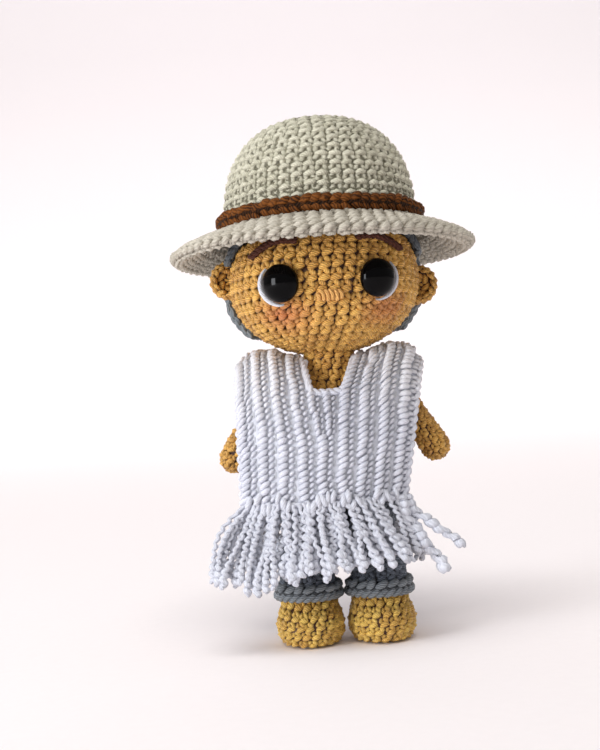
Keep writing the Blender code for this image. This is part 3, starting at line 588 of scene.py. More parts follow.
def headPoint(azimuth, level, offset=0.0):
    # a point on the head, offset along the way out of it
    shape = headShape
    rise = shape["lower"] if level < 0 else shape["upper"]
    radius = shape["radius"] * sqrt(1 - (level / rise) ** 2)
    place = Vector((radius * sin(azimuth), -radius * cos(azimuth), level))
    wide = shape["radius"] ** 2
    out = Vector((place.x / wide, place.y / wide, level / rise ** 2)).normalized()
    return place + out * offset + Vector((0, 0, headHeight)), out


faceShape = dict(eyeRadius=6.0 * mm, eyeDome=4.2 * mm, eyeRim=0.9 * mm, eyeAzimuth=27, eyeLevel=-2.0 * mm,
                 eyeRows=14, eyeSteps=48, post=1.8 * mm, postLength=9.0 * mm,
                 white=dict(left=0.62 * mm, right=0.85 * mm), whiteStart=46, whiteEnd=-86,
                 nose=0.76 * mm, noseWind=1.3 * mm, noseOut=0.75 * mm, noseTurns=6, noseLength=8.6 * mm,
                 noseLevel=-6.7 * mm, brow=1.05 * mm, browPitch=3.4 * mm, browInner=18, browOuter=49,
                 browLevel=10.7 * mm, browArch=1.2 * mm, browFall=3.4 * mm)


def eyeMaterial():
    material, shader, wire = newMaterial("eyePlastic", 0.05)
    spot = wire.place()
    haze = wire.noise(spot, 400.0, 2.0)
    (haze * 0.06 + 0.03).feed(shader, "Roughness")
    haze.mix((0.0006, 0.0006, 0.001, 1), (0.0015, 0.0012, 0.0014, 1)).feed(shader, "Base Color")
    shader.inputs["Specular IOR Level"].default_value = 0.1
    return material


eyePlastic = eyeMaterial()


def buildEye(name, side):
    shape = faceShape
    place, out = headPoint(side * radians(shape["eyeAzimuth"]), shape["eyeLevel"], 0.3 * mm)
    turn = Matrix.Translation(place) @ out.to_track_quat("Z", "Y").to_matrix().to_4x4()
    radius, rim, dome = shape["eyeRadius"], shape["eyeRim"], shape["eyeDome"]
    rows = shape["eyeRows"]
    angles = [pi / 2 * row / rows for row in range(rows, -1, -1)]
    profile = [(radius * cos(angle), rim + dome * sin(angle)) for angle in angles]
    profile[0] = (0.0, rim + dome)
    profile += [(radius * 0.99, rim * 0.5), (radius * 0.95, rim * 0.15), (radius * 0.86, 0.0),
                (shape["post"], 0.0), (shape["post"], -shape["postLength"]), (0.0, -shape["postLength"])]
    made = bmesh.new()
    points = [made.verts.new((x, 0, z)) for x, z in profile]
    edges = [made.edges.new(pair) for pair in zip(points, points[1:])]
    bmesh.ops.spin(made, geom=points + edges, cent=(0, 0, 0), axis=(0, 0, 1), angle=tau,
                   steps=shape["eyeSteps"], use_merge=True)
    bmesh.ops.remove_doubles(made, verts=made.verts, dist=1e-6)
    bmesh.ops.recalc_face_normals(made, faces=made.faces)
    bmesh.ops.transform(made, matrix=turn, verts=made.verts)
    piece = makePiece(f"{name}_eye_dome", [meshFrom(made, "eye")], eyePlastic, "head", [f"{name}_eye"])
    piece.data.set_sharp_from_angle(angle=radians(50))


def buildEyeWhite(name, side):
    shape = faceShape
    strands = []
    for layer, (reach, size) in enumerate(((0.3, 1.0), (0.85, 0.62))):
        strand = []
        for row in range(25):
            share = row / 24
            angle = radians(shape["whiteStart"] + (shape["whiteEnd"] - shape["whiteStart"]) * share)
            outer = max(cos(angle), 0)
            distance = shape["eyeRadius"] + (reach + 0.5 * outer) * mm
            fullness = 0.2 + 0.8 * max(sin(pi * share), 0) ** 0.8
            if layer:
                distance -= (1 - sin(pi * share)) * 0.9 * mm
            level = shape["eyeLevel"] + distance * sin(angle)
            azimuth = side * (radians(shape["eyeAzimuth"]) + distance * cos(angle) / headShape["radius"])
            point, _ = headPoint(azimuth, level, (0.75 - layer * 0.3 + 1.2 * outer) * mm)
            strand.append((*point, shape["white"][name] * fullness * size))
        strands.append(strand)
    mesh = cordMesh(strands, turns=16)
    makePiece(f"{name}_eye_crescent", [mesh], threadYarn, "head", [f"{name}_eye_white"])


def buildBrow(name, side):
    shape = faceShape
    route = []
    for row in range(21):
        share = row / 20
        azimuth = side * radians(shape["browInner"] + (shape["browOuter"] - shape["browInner"]) * share)
        level = shape["browLevel"] + shape["browArch"] * sin(pi * share) - shape["browFall"] * share ** 2
        point, _ = headPoint(azimuth, level, 0.55 * mm)
        route.append(point)
    mesh = cordMesh(ropeOf(route, shape["brow"], shape["browPitch"], (0, 0, headHeight)), turns=15)
    makePiece(f"{name}_brow_strand", [mesh], browYarn, "head", [f"{name}_eyebrow"])


def buildNose():
    # one strand wound round and round a short bar
    shape = faceShape
    strand = []
    for row in range(shape["noseTurns"] * 10 + 1):
        share = 2 * row / (shape["noseTurns"] * 10) - 1
        spin = share * pi * shape["noseTurns"]
        narrow = sqrt(max(1 - abs(share) ** 5, 0.06))
        azimuth = share * shape["noseLength"] / 2 / headShape["radius"] + 0.011 * sin(spin)
        level = shape["noseLevel"] + shape["noseWind"] * narrow * cos(spin) + 0.15 * mm * sin(share * 9)
        point, _ = headPoint(azimuth, level, shape["noseOut"] * narrow * sin(spin) - 0.1 * mm)
        strand.append((*point, shape["nose"] * (0.9 + 0.1 * sin(row * 1.3))))
    mesh = cordMesh([strand], turns=30)
    makePiece("nose_strands", [mesh], noseYarn, "head", ["nose"])


for side, name in ((1, "left"), (-1, "right")):
    buildEar(name, side)
    buildEye(name, side)
    buildEyeWhite(name, side)
    buildBrow(name, side)
buildNose()
print("face made")


def buildHair():
    shape = hairShape
    outline = ellipseOutline(headShape["radius"], headShape["lower"] - shape["taper"], headShape["upper"],
                             -acos(0.2), pi / 2, shape["offset"])
    outline = [spot for spot in outline if spot[1] > shape["nape"]]
    surface, total, radiusAt = turnedSurface(outline, headHeight)
    heights, along = np.array(outline)[:, 1], measured(outline)[1]

    def covered(turn, distance, margin=1.3 * mm):
        height = float(np.interp(distance, along, heights))
        forward = -float(radiusAt(distance)) * cos(turn)
        return forward > hairFront(height) + margin
    cells = roundCells(total, radiusAt, shape["stitchWidth"], shape["rowHeight"], 54, covered)
    skin = layStitches(knotStitch, cells, surface, seed=7, ends=(-1.0, total - pole), lift=-1.0 * mm,
                       wander=0.045)

    def kept(middle):
        return middle.y > hairFront(middle.z - headHeight) + 0.5 * mm
    under = shadedLining(surface, (0, tau), (0.05 * mm, total), 96, 48, 1.0 * mm, wall=0.6 * mm, keep=kept)
    rims = []
    front, back = shape["side"], shape["behindEar"]
    corners = [(front, shape["nape"]), (front, shape["earLow"] - 1 * mm),
               (back + 0.6 * mm, shape["earLow"] + 1.5 * mm), (back + 0.8 * mm, 1 * mm),
               (back - 1 * mm, shape["earHigh"]), (shape["temple"] + 2 * mm, shape["earHigh"] + 1.2 * mm),
               (-12 * mm, 13.8 * mm), (-22 * mm, 17.0 * mm), (-30 * mm, 18.8 * mm)]
    for side in (1, -1):
        route = []
        for forward, height in smoothed(corners, 5):
            radius = float(np.interp(height, heights, np.array(outline)[:, 0])) - shape["rimSink"]
            route.append((side * sqrt(max(radius ** 2 - forward ** 2, 0)), forward, headHeight + height))
        rims += ropeOf(route, shape["rim"], shape["rimPitch"], (0, 30 * mm, headHeight))
    radius = float(outline[0][0]) - shape["rimSink"]
    start = acos(-shape["side"] / radius)
    nape = [(radius * sin(turn), -radius * cos(turn), headHeight + shape["nape"] + 0.6 * mm)
            for turn in np.linspace(start, tau - start, 60)]
    rims += ropeOf(nape, shape["rim"], shape["rimPitch"], (0, 0, headHeight))
    edge = cordMesh(rims, turns=40)
    makePiece("hair_cap", [skin, under, edge], hairYarn, "head", ["hair"])


buildHair()
print("hair made")


# Hat

hatShape = dict(radius=31.97 * mm, foot=1.56 * mm, top=37.3 * mm, inner=29.4 * mm, innerTop=34.7 * mm,
                power=2.55, columns=48, rowHeight=3.25 * mm, flatten=0.84, puff=4.0 * mm, brimColumns=76,
                band=(33.8 * mm, 3.56 * mm), bandRise=2.1 * mm, bandColumns=66,
                brim=[(30.2, -0.2), (33.0, -1.0), (38.5, -3.9), (44.0, -7.2), (48.2, -9.0), (49.9, -8.2),
                      (50.4, -6.8), (49.9, -5.3), (48.2, -4.5), (44.0, -2.6), (39.4, -0.9), (35.6, 0.2),
                      (32.4, 1.6)])
hatHeight = headHeight + 17.6 * mm


def crownOutline(radius, low, high, power):
    outline = []
    for number in range(61):
        angle = pi / 2 * number / 60
        outline.append((radius * max(cos(angle), 0.0) ** (2 / power),
                        low + (high - low) * sin(angle) ** (2 / power)))
    outline[-1] = (0.0, high)
    return outline


def buildHat():
    shape = hatShape
    outline = crownOutline(shape["radius"], shape["foot"], shape["top"], shape["power"])
    surface, total, radiusAt = turnedSurface(outline, hatHeight)
    cells = roundCells(total, radiusAt, tau * shape["radius"] / shape["columns"], shape["rowHeight"],
                       shape["columns"])
    cells = [(*cell[:4], cell[4] * shape["flatten"]) for cell in cells]
    crown = layStitches(archStitch, cells, surface, seed=21, ends=(-1.0, total - pole), lift=-0.62 * mm,
                        wander=0.04, lean=0.09)
    # painted shade: the lining between the crown's stitches is darkened by 0.7
    under = shadedLining(surface, (0, tau), (0, total - 0.05 * mm), 72, 36, 0.85 * mm, paintedShade=0.7)
    makePiece("hat_crown", [crown, under], creamYarn, "hat", ["hat"])

    outline = smoothed([(radius * mm, height * mm) for radius, height in shape["brim"]], 4)
    surface, total, radiusAt = turnedSurface(outline, hatHeight)
    along = measured(outline)[1]
    low, high = float(along[18]), float(along[30])   # where the rolled edge starts and ends
    meshes = []
    parts = [(knotStitch, 0.0, low, 6, -0.85), (puffStitch, low, high - low, 1, -1.15),
             (puffStitch, high, total - high, 4, -1.15)]   # underside, edge and top
    for number, (stitch, start, length, rows, lift) in enumerate(parts):
        cells = roundCells(length, radiusAt, shape["puff"], length / rows, shape["brimColumns"],
                           start=start, multiple=2)
        meshes.append(layStitches(stitch, cells, surface, seed=31 + number, lift=lift * mm, wander=0.03,
                                  turns=-6.0))
    meshes.append(shadedLining(surface, (0, tau), (0, total), 96, 40, 1.2 * mm))
    makePiece("hat_brim", meshes, brimYarn, "hat", ())

    outline = crownOutline(shape["inner"], 0.0, shape["innerTop"], shape["power"])[::-1]
    surface, total, radiusAt = turnedSurface(outline, hatHeight)
    cells = roundCells(total, radiusAt, 4.0 * mm, 3.7 * mm, 46)
    inside = layStitches(archStitch, cells, surface, seed=23, lift=-1.0 * mm, ends=(pole, 1.0))
    under = shadedLining(surface, (0, tau), (0.05 * mm, total), 60, 30, 1.0 * mm)
    makePiece("hat_inside", [inside, under], creamYarn, "hat", ())


def buildBand():
    # a braid: each lobe comes up from under its neighbour and dives under the next
    shape = hatShape
    radius, height = shape["band"]
    lobe = yarnMesh([
        [(-0.80, -0.06, -0.55, 0.20), (-0.42, 0.10, 0.00, 0.36), (0.02, 0.30, 0.12, 0.42),
         (0.44, 0.42, 0.00, 0.36), (0.80, 0.40, -0.55, 0.18)],
        [(-0.78, 0.06, -0.55, 0.18), (-0.38, -0.12, -0.04, 0.32), (0.04, -0.32, 0.06, 0.37),
         (0.44, -0.44, -0.08, 0.32), (0.78, -0.40, -0.60, 0.18)],
    ])

    def surface(turn, rise):
        return onRing(radius, turn, hatHeight + height + rise)
    wide = tau / shape["bandColumns"]
    cells = [(wide * number, 0.0, wide, shape["bandRise"] * 1.9, 3.0 * mm)
             for number in range(shape["bandColumns"])]
    braid = layStitches(lobe, cells, surface, seed=41, lift=-0.30 * mm, wander=0.05, turns=-5.0)
    # a cord under the braid lobes, darkened with painted shade where it shows between them
    core = cordMesh([[(radius * sin(turn) * 0.975, -radius * cos(turn) * 0.975, hatHeight + height, 1.7 * mm)
                      for turn in np.linspace(0, tau, 97)]], turns=200, paintedShade=0.8)
    makePiece("hat_braid", [braid, core], bandYarn, "hat", ["hat_band"])


buildHat()
buildBand()
print("hat made")


# Body, arms and legs

bodyShape = dict(seat=21.2 * mm, bowl=18.5 * mm, neck=8.5 * mm, torso=41.0 * mm, waist=47.1 * mm,
                 neckTop=6.4 * mm, stitch=3.8 * mm, row=3.6 * mm)
armShape = dict(shoulder=4.2 * mm, wrist=4.4 * mm, hand=5.2 * mm, length=31.5 * mm, start=72, end=29,
                bend=0.45, drop=2.5 * mm, stitch=3.2 * mm, row=3.1 * mm)
legShape = dict(radius=9.4 * mm, spacing=23.4 * mm, crotch=28.6 * mm, ankle=15.2 * mm,
                footWidth=22.6 * mm, footLength=27.0 * mm, forward=3.0 * mm, footStitch=3.75 * mm,
                legRow=3.5 * mm, cuff=10.6 * mm, cuffHeight=16.6 * mm, cuffStrand=0.85 * mm, cuffColumns=18,
                foot=[(0.00, 0.74, 0.00), (0.07, 0.87, 0.00), (0.22, 0.98, 0.00), (0.42, 1.01, 0.00),
                      (0.62, 0.99, 0.20), (0.80, 0.95, 0.65), (0.91, 0.96, 1.00), (1.00, 0.96, 1.00)])


def buildTorso():
    shape = bodyShape
    outline = []
    for number in range(31):
        share = number / 30
        radius = shape["neck"] + (shape["seat"] - shape["neck"]) * cos(share * pi / 2)
        outline.append((radius, shape["waist"] + shape["torso"] * share))
    outline.append((shape["neck"], shape["waist"] + shape["torso"] + shape["neckTop"] + 1.5 * mm))
    surface, total, radiusAt = turnedSurface(outline)
    cells = roundCells(total, radiusAt, shape["stitch"], shape["row"], multiple=2, stagger=0.3)
    skin = layStitches(knotStitch, cells, surface, seed=51, rowGapShade=0.3, lift=-0.95 * mm, wander=0.04)
    under = shadedLining(surface, (0, tau), (0, total), 60, 30, 1.1 * mm, wall=0.6 * mm)
    makePiece("torso_skin", [skin, under], skinYarn, "doll", ["torso"])


def buildArm(name, side):
    shape = armShape
    steps = 60
    # the arm's middle line, from the shoulder to the palm
    share = np.linspace(0, 1, steps + 1)
    bend = np.minimum(share / shape["bend"], 1)
    angle = np.radians(shape["start"] + (shape["end"] - shape["start"]) * bend)
    moves = np.stack([side * np.sin(angle), np.zeros(steps + 1), -np.cos(angle)], 1) * shape["length"] / steps
    line = np.cumsum(moves, axis=0)
    line -= line[0]
    height = bodyShape["waist"] + bodyShape["torso"] - shape["drop"]
    swell = bodyShape["neck"] + (bodyShape["seat"] - bodyShape["neck"]) * cos(
        (height - bodyShape["waist"]) / bodyShape["torso"] * pi / 2)
    line += np.array([side * (swell + shape["shoulder"] + 0.55 * mm), 0, height])
    ahead = np.stack([side * np.sin(angle), np.zeros(steps + 1), -np.cos(angle)], 1)
    radii = np.interp(share, [0, 0.60, 0.72, 0.84, 1.0], [
        shape["shoulder"], shape["wrist"], shape["wrist"] + 0.25 * (shape["hand"] - shape["wrist"]),
        shape["wrist"] + 0.75 * (shape["hand"] - shape["wrist"]), shape["hand"]])
    # outline of (radius, distance along the line), rounded at both ends
    caps = [pi / 2 * number / 10 for number in range(10)]
    outline = [(shape["shoulder"] * sin(a), -shape["shoulder"] * cos(a)) for a in caps]
    outline += list(zip(radii, share * shape["length"]))
    outline += [(shape["hand"] * cos(a), shape["length"] + shape["hand"] * sin(a)) for a in caps[1:]]
    outline += [(0.0, shape["length"] + shape["hand"])]
    flat, along = measured(outline)
    total = along[-1]

    def surface(turn, distance):
        distance = total - distance        # rows run up from the hand
        radius, place = columnsAt(distance, along, flat)
        inside = np.clip(place / shape["length"], 0, 1)
        middle, way = [np.stack(columnsAt(inside, share, table), 1) for table in (line, ahead)]
        middle += way * (place - inside * shape["length"])[:, None]
        across = np.stack([-way[:, 2], np.zeros(len(way)), way[:, 0]], 1)
        front = np.array([0, -1.0, 0])
        return middle + radius[:, None] * (across * np.sin(turn)[:, None] + front * np.cos(turn)[:, None])
    cells = roundCells(total, lambda distance: np.interp(total - distance, along, flat[:, 0]),
                       shape["stitch"], shape["row"], multiple=1, stagger=0.4)
    skin = layStitches(knotStitch, cells, surface, seed=61 + side, rowGapShade=0.3, ends=(pole, total - pole),
                       lift=-0.85 * mm, wander=0.04)
    under = shadedLining(surface, (0, tau), (0.02 * mm, total - 0.02 * mm), 24, 40, 1.1 * mm)
    makePiece(f"{name}_arm_skin", [skin, under], armYarn, f"{name}_arm", [f"{name}_arm"])


def buildFoot(name, side):
    shape = legShape
    rings = [(0.0, 0.0, 0.0, 0.0)]
    for height, fullness, ankle in shape["foot"]:
        halfX = shape["footWidth"] / 2 * fullness * (1 - ankle) + shape["radius"] * ankle
        halfY = shape["footLength"] / 2 * fullness * (1 - ankle) + shape["radius"] * ankle
        rings.append((halfX, shape["ankle"] * height, halfY / halfX, -shape["forward"] * (1 - ankle)))
    rings[0] = (0.0, 0.0, rings[1][2], rings[1][3])
    rings = rings[:1] + list(smoothed(rings[1:], 4))
    outline, along = measured(rings)
    total = along[-1]

    def surface(turn, distance):
        radius, height, longer, ahead = columnsAt(distance, along, outline)
        return np.stack([side * shape["spacing"] / 2 + radius * np.sin(turn),
                         ahead - radius * longer * np.cos(turn), height], 1)

    def radiusAt(distance):
        return np.interp(distance, along, outline[:, 0]) * 1.1
    sole = float(along[2])
    meshes = []
    for start, length, rows, seed in ((0.0, sole, 3, 71), (sole, total - sole, 5, 72)):
        cells = roundCells(length, radiusAt, shape["footStitch"], length / rows, 20, start=start,
                           multiple=2, stagger=0.42)
        meshes.append(layStitches(knotStitch, cells, surface, seed=seed + side, lift=-1.05 * mm, rowGapShade=0.3,
                                  wander=0.05, lean=0.16, ends=(pole, 1.0)))
    meshes.append(shadedLining(surface, (0, tau), (0.02 * mm, total), 40, 30, 1.0 * mm, wall=0.5 * mm))
    makePiece(f"{name}_foot_skin", meshes, footYarn, "doll", [f"{name}_foot"])


def buildCuff(name, side):
    # a fine rope at the trouser end with a row of lumps above it
    shape = legShape
    centre = side * shape["spacing"] / 2
    strands = []
    for phase in (0, pi):
        strand = []
        for number in range(241):
            turn = tau * number / 240
            twist = phase + turn * 13
            radius = shape["cuff"] - 0.1 * mm + 0.5 * mm * cos(twist)
            strand.append((centre + radius * sin(turn), -radius * cos(turn),
                           shape["cuffHeight"] - 1.0 * mm + 0.7 * mm * sin(twist), shape["cuffStrand"]))
        strands.append(strand)
    rope = cordMesh(strands, sides=8, turns=-90)

    def surface(turn, rise):
        return onRing(shape["cuff"], turn, shape["cuffHeight"] + 0.1 * mm + rise, centre)
    wide = tau / shape["cuffColumns"]
    cells = [(wide * number, 0.0, wide, 2.7 * mm, 3.1 * mm) for number in range(shape["cuffColumns"])]
    lumps = layStitches(ropeStitch, cells, surface, seed=75, lift=-0.55 * mm, wander=0.06, lean=0.15)
    inner = shape["cuff"] - 0.9 * mm
    # a cord behind the cuff's lumps, darkened with painted shade where it shows between them
    core = cordMesh([[(centre + inner * sin(turn), -inner * cos(turn), shape["cuffHeight"], 1.6 * mm)
                      for turn in np.linspace(0, tau, 61)]], paintedShade=0.9)
    makePiece(f"{name}_cuff_rope", [rope, lumps, core], cuffYarn, "doll", [f"{name}_cuff"])


def buildTrousers():
    body, leg = bodyShape, legShape
    seat = []
    for number in range(31):
        angle = -pi / 2 * (1 - number / 30)
        seat.append((body["seat"] * cos(angle), body["waist"] - 0.3 * mm + body["bowl"] * sin(angle)))
    surface, total, radiusAt = turnedSurface(seat)
    hip = leg["radius"] * 0.8

    def clearOfLegs(turn, distance):
        radius = float(radiusAt(distance))
        x, y = abs(radius * sin(turn)), -radius * cos(turn)
        return (x - leg["spacing"] / 2 * 0.8) ** 2 + y ** 2 > (hip * 0.9) ** 2
    cells = roundCells(total, radiusAt, body["stitch"], body["row"], 34, clearOfLegs, multiple=2)
    meshes = [layStitches(knotStitch, cells, surface, seed=81, lift=-1.0 * mm, wander=0.04, ends=(pole, 1.0)),
              shadedLining(surface, (0, tau), (0.02 * mm, total), 60, 24, 1.1 * mm)]
    for side in (1, -1):
        rings = [(leg["ankle"] + 0.3 * mm, leg["spacing"] / 2, leg["radius"]),
                 (leg["crotch"], leg["spacing"] / 2, leg["radius"]),
                 (leg["crotch"] + body["bowl"] / 2, leg["spacing"] / 2 * 0.8, hip)]
        rings = np.array(smoothed(rings, 8))
        legAlong = distancesOf(rings)

        def legSurface(turn, distance, rings=rings, legAlong=legAlong, side=side):
            height, centre, radius = columnsAt(distance, legAlong, rings)
            return onRing(radius, turn, height, side * centre)
        cells = roundCells(legAlong[-1], lambda distance: leg["radius"] * 0.97, body["stitch"],
                           leg["legRow"], 16, multiple=2)
        meshes.append(layStitches(knotStitch, cells, legSurface, seed=82 + side, lift=-1.0 * mm, wander=0.05))
        meshes.append(shadedLining(legSurface, (0, tau), (0, legAlong[-1]), 36, 16, 1.1 * mm))
    makePiece("trouser_skin", meshes, greyYarn, "doll", ["trousers"])


buildTorso()
buildTrousers()
for side, name in ((1, "left"), (-1, "right")):
    buildArm(name, side)
    buildFoot(name, side)
    buildCuff(name, side)
print("body made")


# Poncho

ponchoShape = dict(shoulder=32.0 * mm, frontHem=26.4 * mm, backHem=28.7 * mm, frontSkew=-5.3 * mm,
                   backSkew=-3.5 * mm, depth=23.9 * mm, wrap=0.38, seam=96.4 * mm, hem=46.2 * mm,
                   droop=6.2 * mm, droopStart=0.75, round=3.4 * mm, roundShare=0.24, cloth=1.5 * mm,
                   ribs=9, rowHeight=4.0 * mm, ribRadius=1.0 * mm, ribUnderHead=0.66 * mm,
                   seamStitch=[(-0.5, -3.4, -2.2, 0.5), (-0.25, -1.8, -0.9, 0.85), (0, 0, -0.5, 1.0),
                               (0.25, 1.8, -0.9, 0.85), (0.5, 3.4, -2.2, 0.5)],
                   underHead=1.45 * mm, neckHole=10.8 * mm, openTop=9.7 * mm, openBottom=4.9 * mm,
                   openDepth=15.0 * mm, openAside=-2.2 * mm, openEdge=0.5 * mm, bend=20.0 * mm)


def ribInMillimetres():
    # the rib is drawn with its place in cell shares and its radius in millimetres
    pitch, row = 7.0, ponchoShape["rowHeight"] / mm
    strands = []
    for low in (0.0, 2.0):
        strands += [
            [(-3.0, low - 0.5, -0.7, 0.45), (-2.35, low, 0.15, 0.88), (-1.3, low + 0.65, 0.42, 1.02),
             (-0.4, low + 1.3, 0.28, 0.86), (0.2, low + 1.9, -0.5, 0.45)],
            [(0.75, low, -0.7, 0.35), (1.25, low + 0.5, -0.05, 0.62), (1.95, low + 1.0, 0.02, 0.70),
             (2.5, low + 1.6, -0.7, 0.40)]]
    strands.append([(2.9, 0.0, -1.2, 0.35), (3.15, 1.0, -0.8, 0.50), (3.2, 2.4, -0.8, 0.52),
                    (3.0, 3.6, -1.2, 0.35)])
    mesh = yarnMesh(strands)
    points = readPoints(mesh) / (pitch, row, 1.0)
    mesh.vertices.foreach_set("co", points.ravel())
    return mesh


def seamHeight(across, side):
    # the seam falls towards the shoulders, and stays under the head
    shape = ponchoShape
    radius = headShape["radius"]
    under = headHeight - headShape["lower"] * np.sqrt(1 - np.minimum(np.abs(side) / radius, 1) ** 2)
    past = np.maximum(np.abs(across) - shape["droopStart"], 0) / (1 - shape["droopStart"])
    return np.minimum(shape["seam"] - shape["droop"] * past ** 2, under - shape["underHead"])


def seamAt(x):
    return float(seamHeight(x / ponchoShape["shoulder"], x))


def fallAt(x, y):
    # the poncho's height over a place near the neck
    shape = ponchoShape
    return shape["hem"] + (seamAt(x) - shape["hem"]) * sqrt(max(1 - (y / shape["depth"]) ** 2, 0))


def panelSurface(facing):
    # across runs from -1 to 1 over the panel, and distance up from its hem
    shape = ponchoShape
    end = "front" if facing < 0 else "back"
    hem, skew = shape[end + "Hem"], shape[end + "Skew"]
    drop = shape["seam"] - shape["hem"]
    angles = np.linspace(0, pi / 2, 200)
    steps = np.hypot(np.diff(shape["depth"] * np.sin(angles)), np.diff(drop * np.cos(angles)))
    arc = np.concatenate([[0], np.cumsum(steps)])
    total = arc[-1]

    def place(across, distance):
        across = -facing * across
        angle = np.interp(total - distance, arc, angles)
        down = np.interp(total - distance, [0, total], [0, 1])
        half = shape["shoulder"] + (hem - shape["shoulder"]) * down
        half -= shape["round"] * np.maximum(1 - np.degrees(angle) / 90 / shape["roundShare"], 0) ** 2
        depth = (shape["depth"] - 1.2 * mm) * (1 - shape["wrap"] * np.abs(across) ** 2.2)
        fall = seamHeight(across, across * half + skew * down) - shape["hem"]
        over = np.maximum(distance - total, 0)
        return np.stack([across * half + skew * down,
                         facing * (1.35 * mm - over + depth * np.sin(angle)),
                         shape["hem"] + fall * np.cos(angle) + np.minimum(distance, 0)], 1)
    return place, total


def openHalf(share):
    # half the neckline's width, from its low end at 0 to the seam at 1
    shape = ponchoShape
    return shape["openBottom"] + (shape["openTop"] - shape["openBottom"]) * share


def inOpening(x, y, z, margin):
    # true inside the neck hole or the front's neckline
    shape = ponchoShape
    low = shape["seam"] - shape["openDepth"]
    inHole = (x * x + y * y < (shape["neckHole"] + margin) ** 2) & (z > low)
    share = (z - low) / shape["openDepth"]
    half = openHalf(share) + margin
    x = x - shape["openAside"] * (1 - share)
    return inHole | ((y < 0) & (z > low - margin) & (np.abs(x) < half))


def bentRibs(surface):
    # the front's ribs draw aside round the neckline, as the rib in the middle ends there
    shape = ponchoShape
    middle = 1 / shape["ribs"]

    def place(across, distance):
        height = surface(0 * distance, distance)[:, 2]
        low = shape["seam"] - shape["openDepth"]
        part = np.clip((height - low + shape["bend"]) / shape["bend"], 0, 1)
        part = part * part * (3 - 2 * part)
        share = np.clip((height - low) / shape["openDepth"], 0, 1)
        half = (openHalf(share) + shape["openEdge"]) / shape["shoulder"]
        aside = shape["openAside"] * (1 - share) / shape["shoulder"]
        left = -middle + (aside - half + middle) * part
        right = middle + (aside + half - middle) * part
        bent = np.where(across < -middle, -1 + (across + 1) * (left + 1) / (1 - middle),
                        np.where(across > middle, 1 - (1 - across) * (1 - right) / (1 - middle),
                                 left + (across + middle) * (right - left) / (2 * middle)))
        return surface(bent, distance)
    return place


def buildPanel(name, facing):
    shape = ponchoShape
    surface, total = panelSurface(facing)
    rows = round(total / shape["rowHeight"])
    step = total / rows
    cells = []
    ribSurface = bentRibs(surface) if facing < 0 else surface
    for rib in range(shape["ribs"]):
        for row in range(rows):
            middle, wide = 2 * (rib + 0.5) / shape["ribs"] - 1, 2 / shape["ribs"]
            corners = np.array([middle - wide / 2, middle + wide / 2])
            ends = ribSurface(corners, np.full(2, (row + 0.5) * step))[:, 0]
            # a rib that widens under the neckline is worked as two
            parts = 2 if abs(ends[1] - ends[0]) > 1.25 * wide * shape["frontHem"] else 1
            thick = shape["ribUnderHead" if row == rows - 1 else "ribRadius"]
            for part in range(parts):
                place = middle + wide * ((part + 0.5) / parts - 0.5)
                cells.append((place, row * step, wide / parts, step, thick))
    across, distance = np.array([cell[:2] for cell in cells]).T
    middles = ribSurface(across, distance + step / 2)
    cells = [cell for cell, spot in zip(cells, middles) if not inOpening(*spot, 0.2 * mm)]
    ribs = layStitches(ribInMillimetres(), cells, ribSurface, seed=91 + facing, wander=0.04, turns=-6.0,
                       lean=0.0)

    # the panel's cloth, given painted shade where it shows in the grooves between the ribs
    made = shadedLining(surface, (-1, 1), (0, total), 78, 70, 1.0 * mm, closed=False, wall=0.0, paintedShade=0.35,
                  keep=lambda spot: not inOpening(spot.x, spot.y, spot.z, 0.2 * mm))
    cloth = makePiece(f"{name}_cloth", [made], clothYarn, "doll", [name])
    wall = cloth.modifiers.new("wall", "SOLIDIFY")
    wall.thickness = shape["cloth"]
    wall.offset = -0.4
    bpy.context.view_layer.update()
    solid = bpy.data.meshes.new_from_object(cloth.evaluated_get(bpy.context.evaluated_depsgraph_get()))
    cloth.modifiers.clear()
    cloth.data = solid

    edges = []
    for side in (-1, 1):
        # a strand wound over the side edge
        share = np.linspace(0, 1, 230)
        route = surface(np.full(230, side * 0.975), share * total)
        spin = share * tau * total / (3.1 * mm)
        route += np.stack([np.cos(spin), np.sin(spin), 0 * spin], 1) * 0.35 * mm
        edges.append([(*spot, 0.85 * mm) for spot in route])
    hem = surface(np.linspace(-0.97, 0.97, 60), np.full(60, 0.4 * mm))
    edges.append([(*spot, 0.95 * mm) for spot in hem])
    edge = cordMesh(edges, turns=62)
    ribPiece = makePiece(f"{name}_ribs", [ribs, edge], whiteYarn, "doll", ())
    return cloth, ribPiece


def openingRoute():
    # along the neckline, on the front from the seam down and round, then behind the neck
    shape = ponchoShape
    low = shape["seam"] - shape["openDepth"]

    def onPanel(x, height):
        fall = seamAt(x) - shape["hem"]
        angle = acos(min(max((height - shape["hem"]) / fall, -1), 1))
        depth = shape["depth"] * (1 - shape["wrap"] * abs(x / shape["shoulder"]) ** 2.2)
        return (x, -depth * sin(angle) - 0.2 * mm, height + 0.3 * mm)
    sides = []
    for side in (1, -1):
        route = []
        for turn in np.linspace(0, radians(42), 6):
            x, y = side * shape["neckHole"] * cos(turn), -shape["neckHole"] * sin(turn)
            route.append((x, y, fallAt(x, y) + 0.2 * mm))
        for share in (0.72, 0.5, 0.25, 0.08):
            half = openHalf(share) + 0.4 * mm
            aside = shape["openAside"] * (1 - share)
            route.append(onPanel(side * half + aside, low + shape["openDepth"] * share))
        route.append(onPanel(side * shape["openBottom"] * 0.75 + shape["openAside"], low - 0.4 * mm))
        sides.append(route)
    front = smoothed(sides[0] + sides[1][::-1], 4)
    behind = []
    for turn in np.linspace(0, pi, 24):
        x, y = shape["neckHole"] * cos(turn), shape["neckHole"] * sin(turn)
        behind.append((x, y, fallAt(x, y) + 0.2 * mm))
    return front, behind


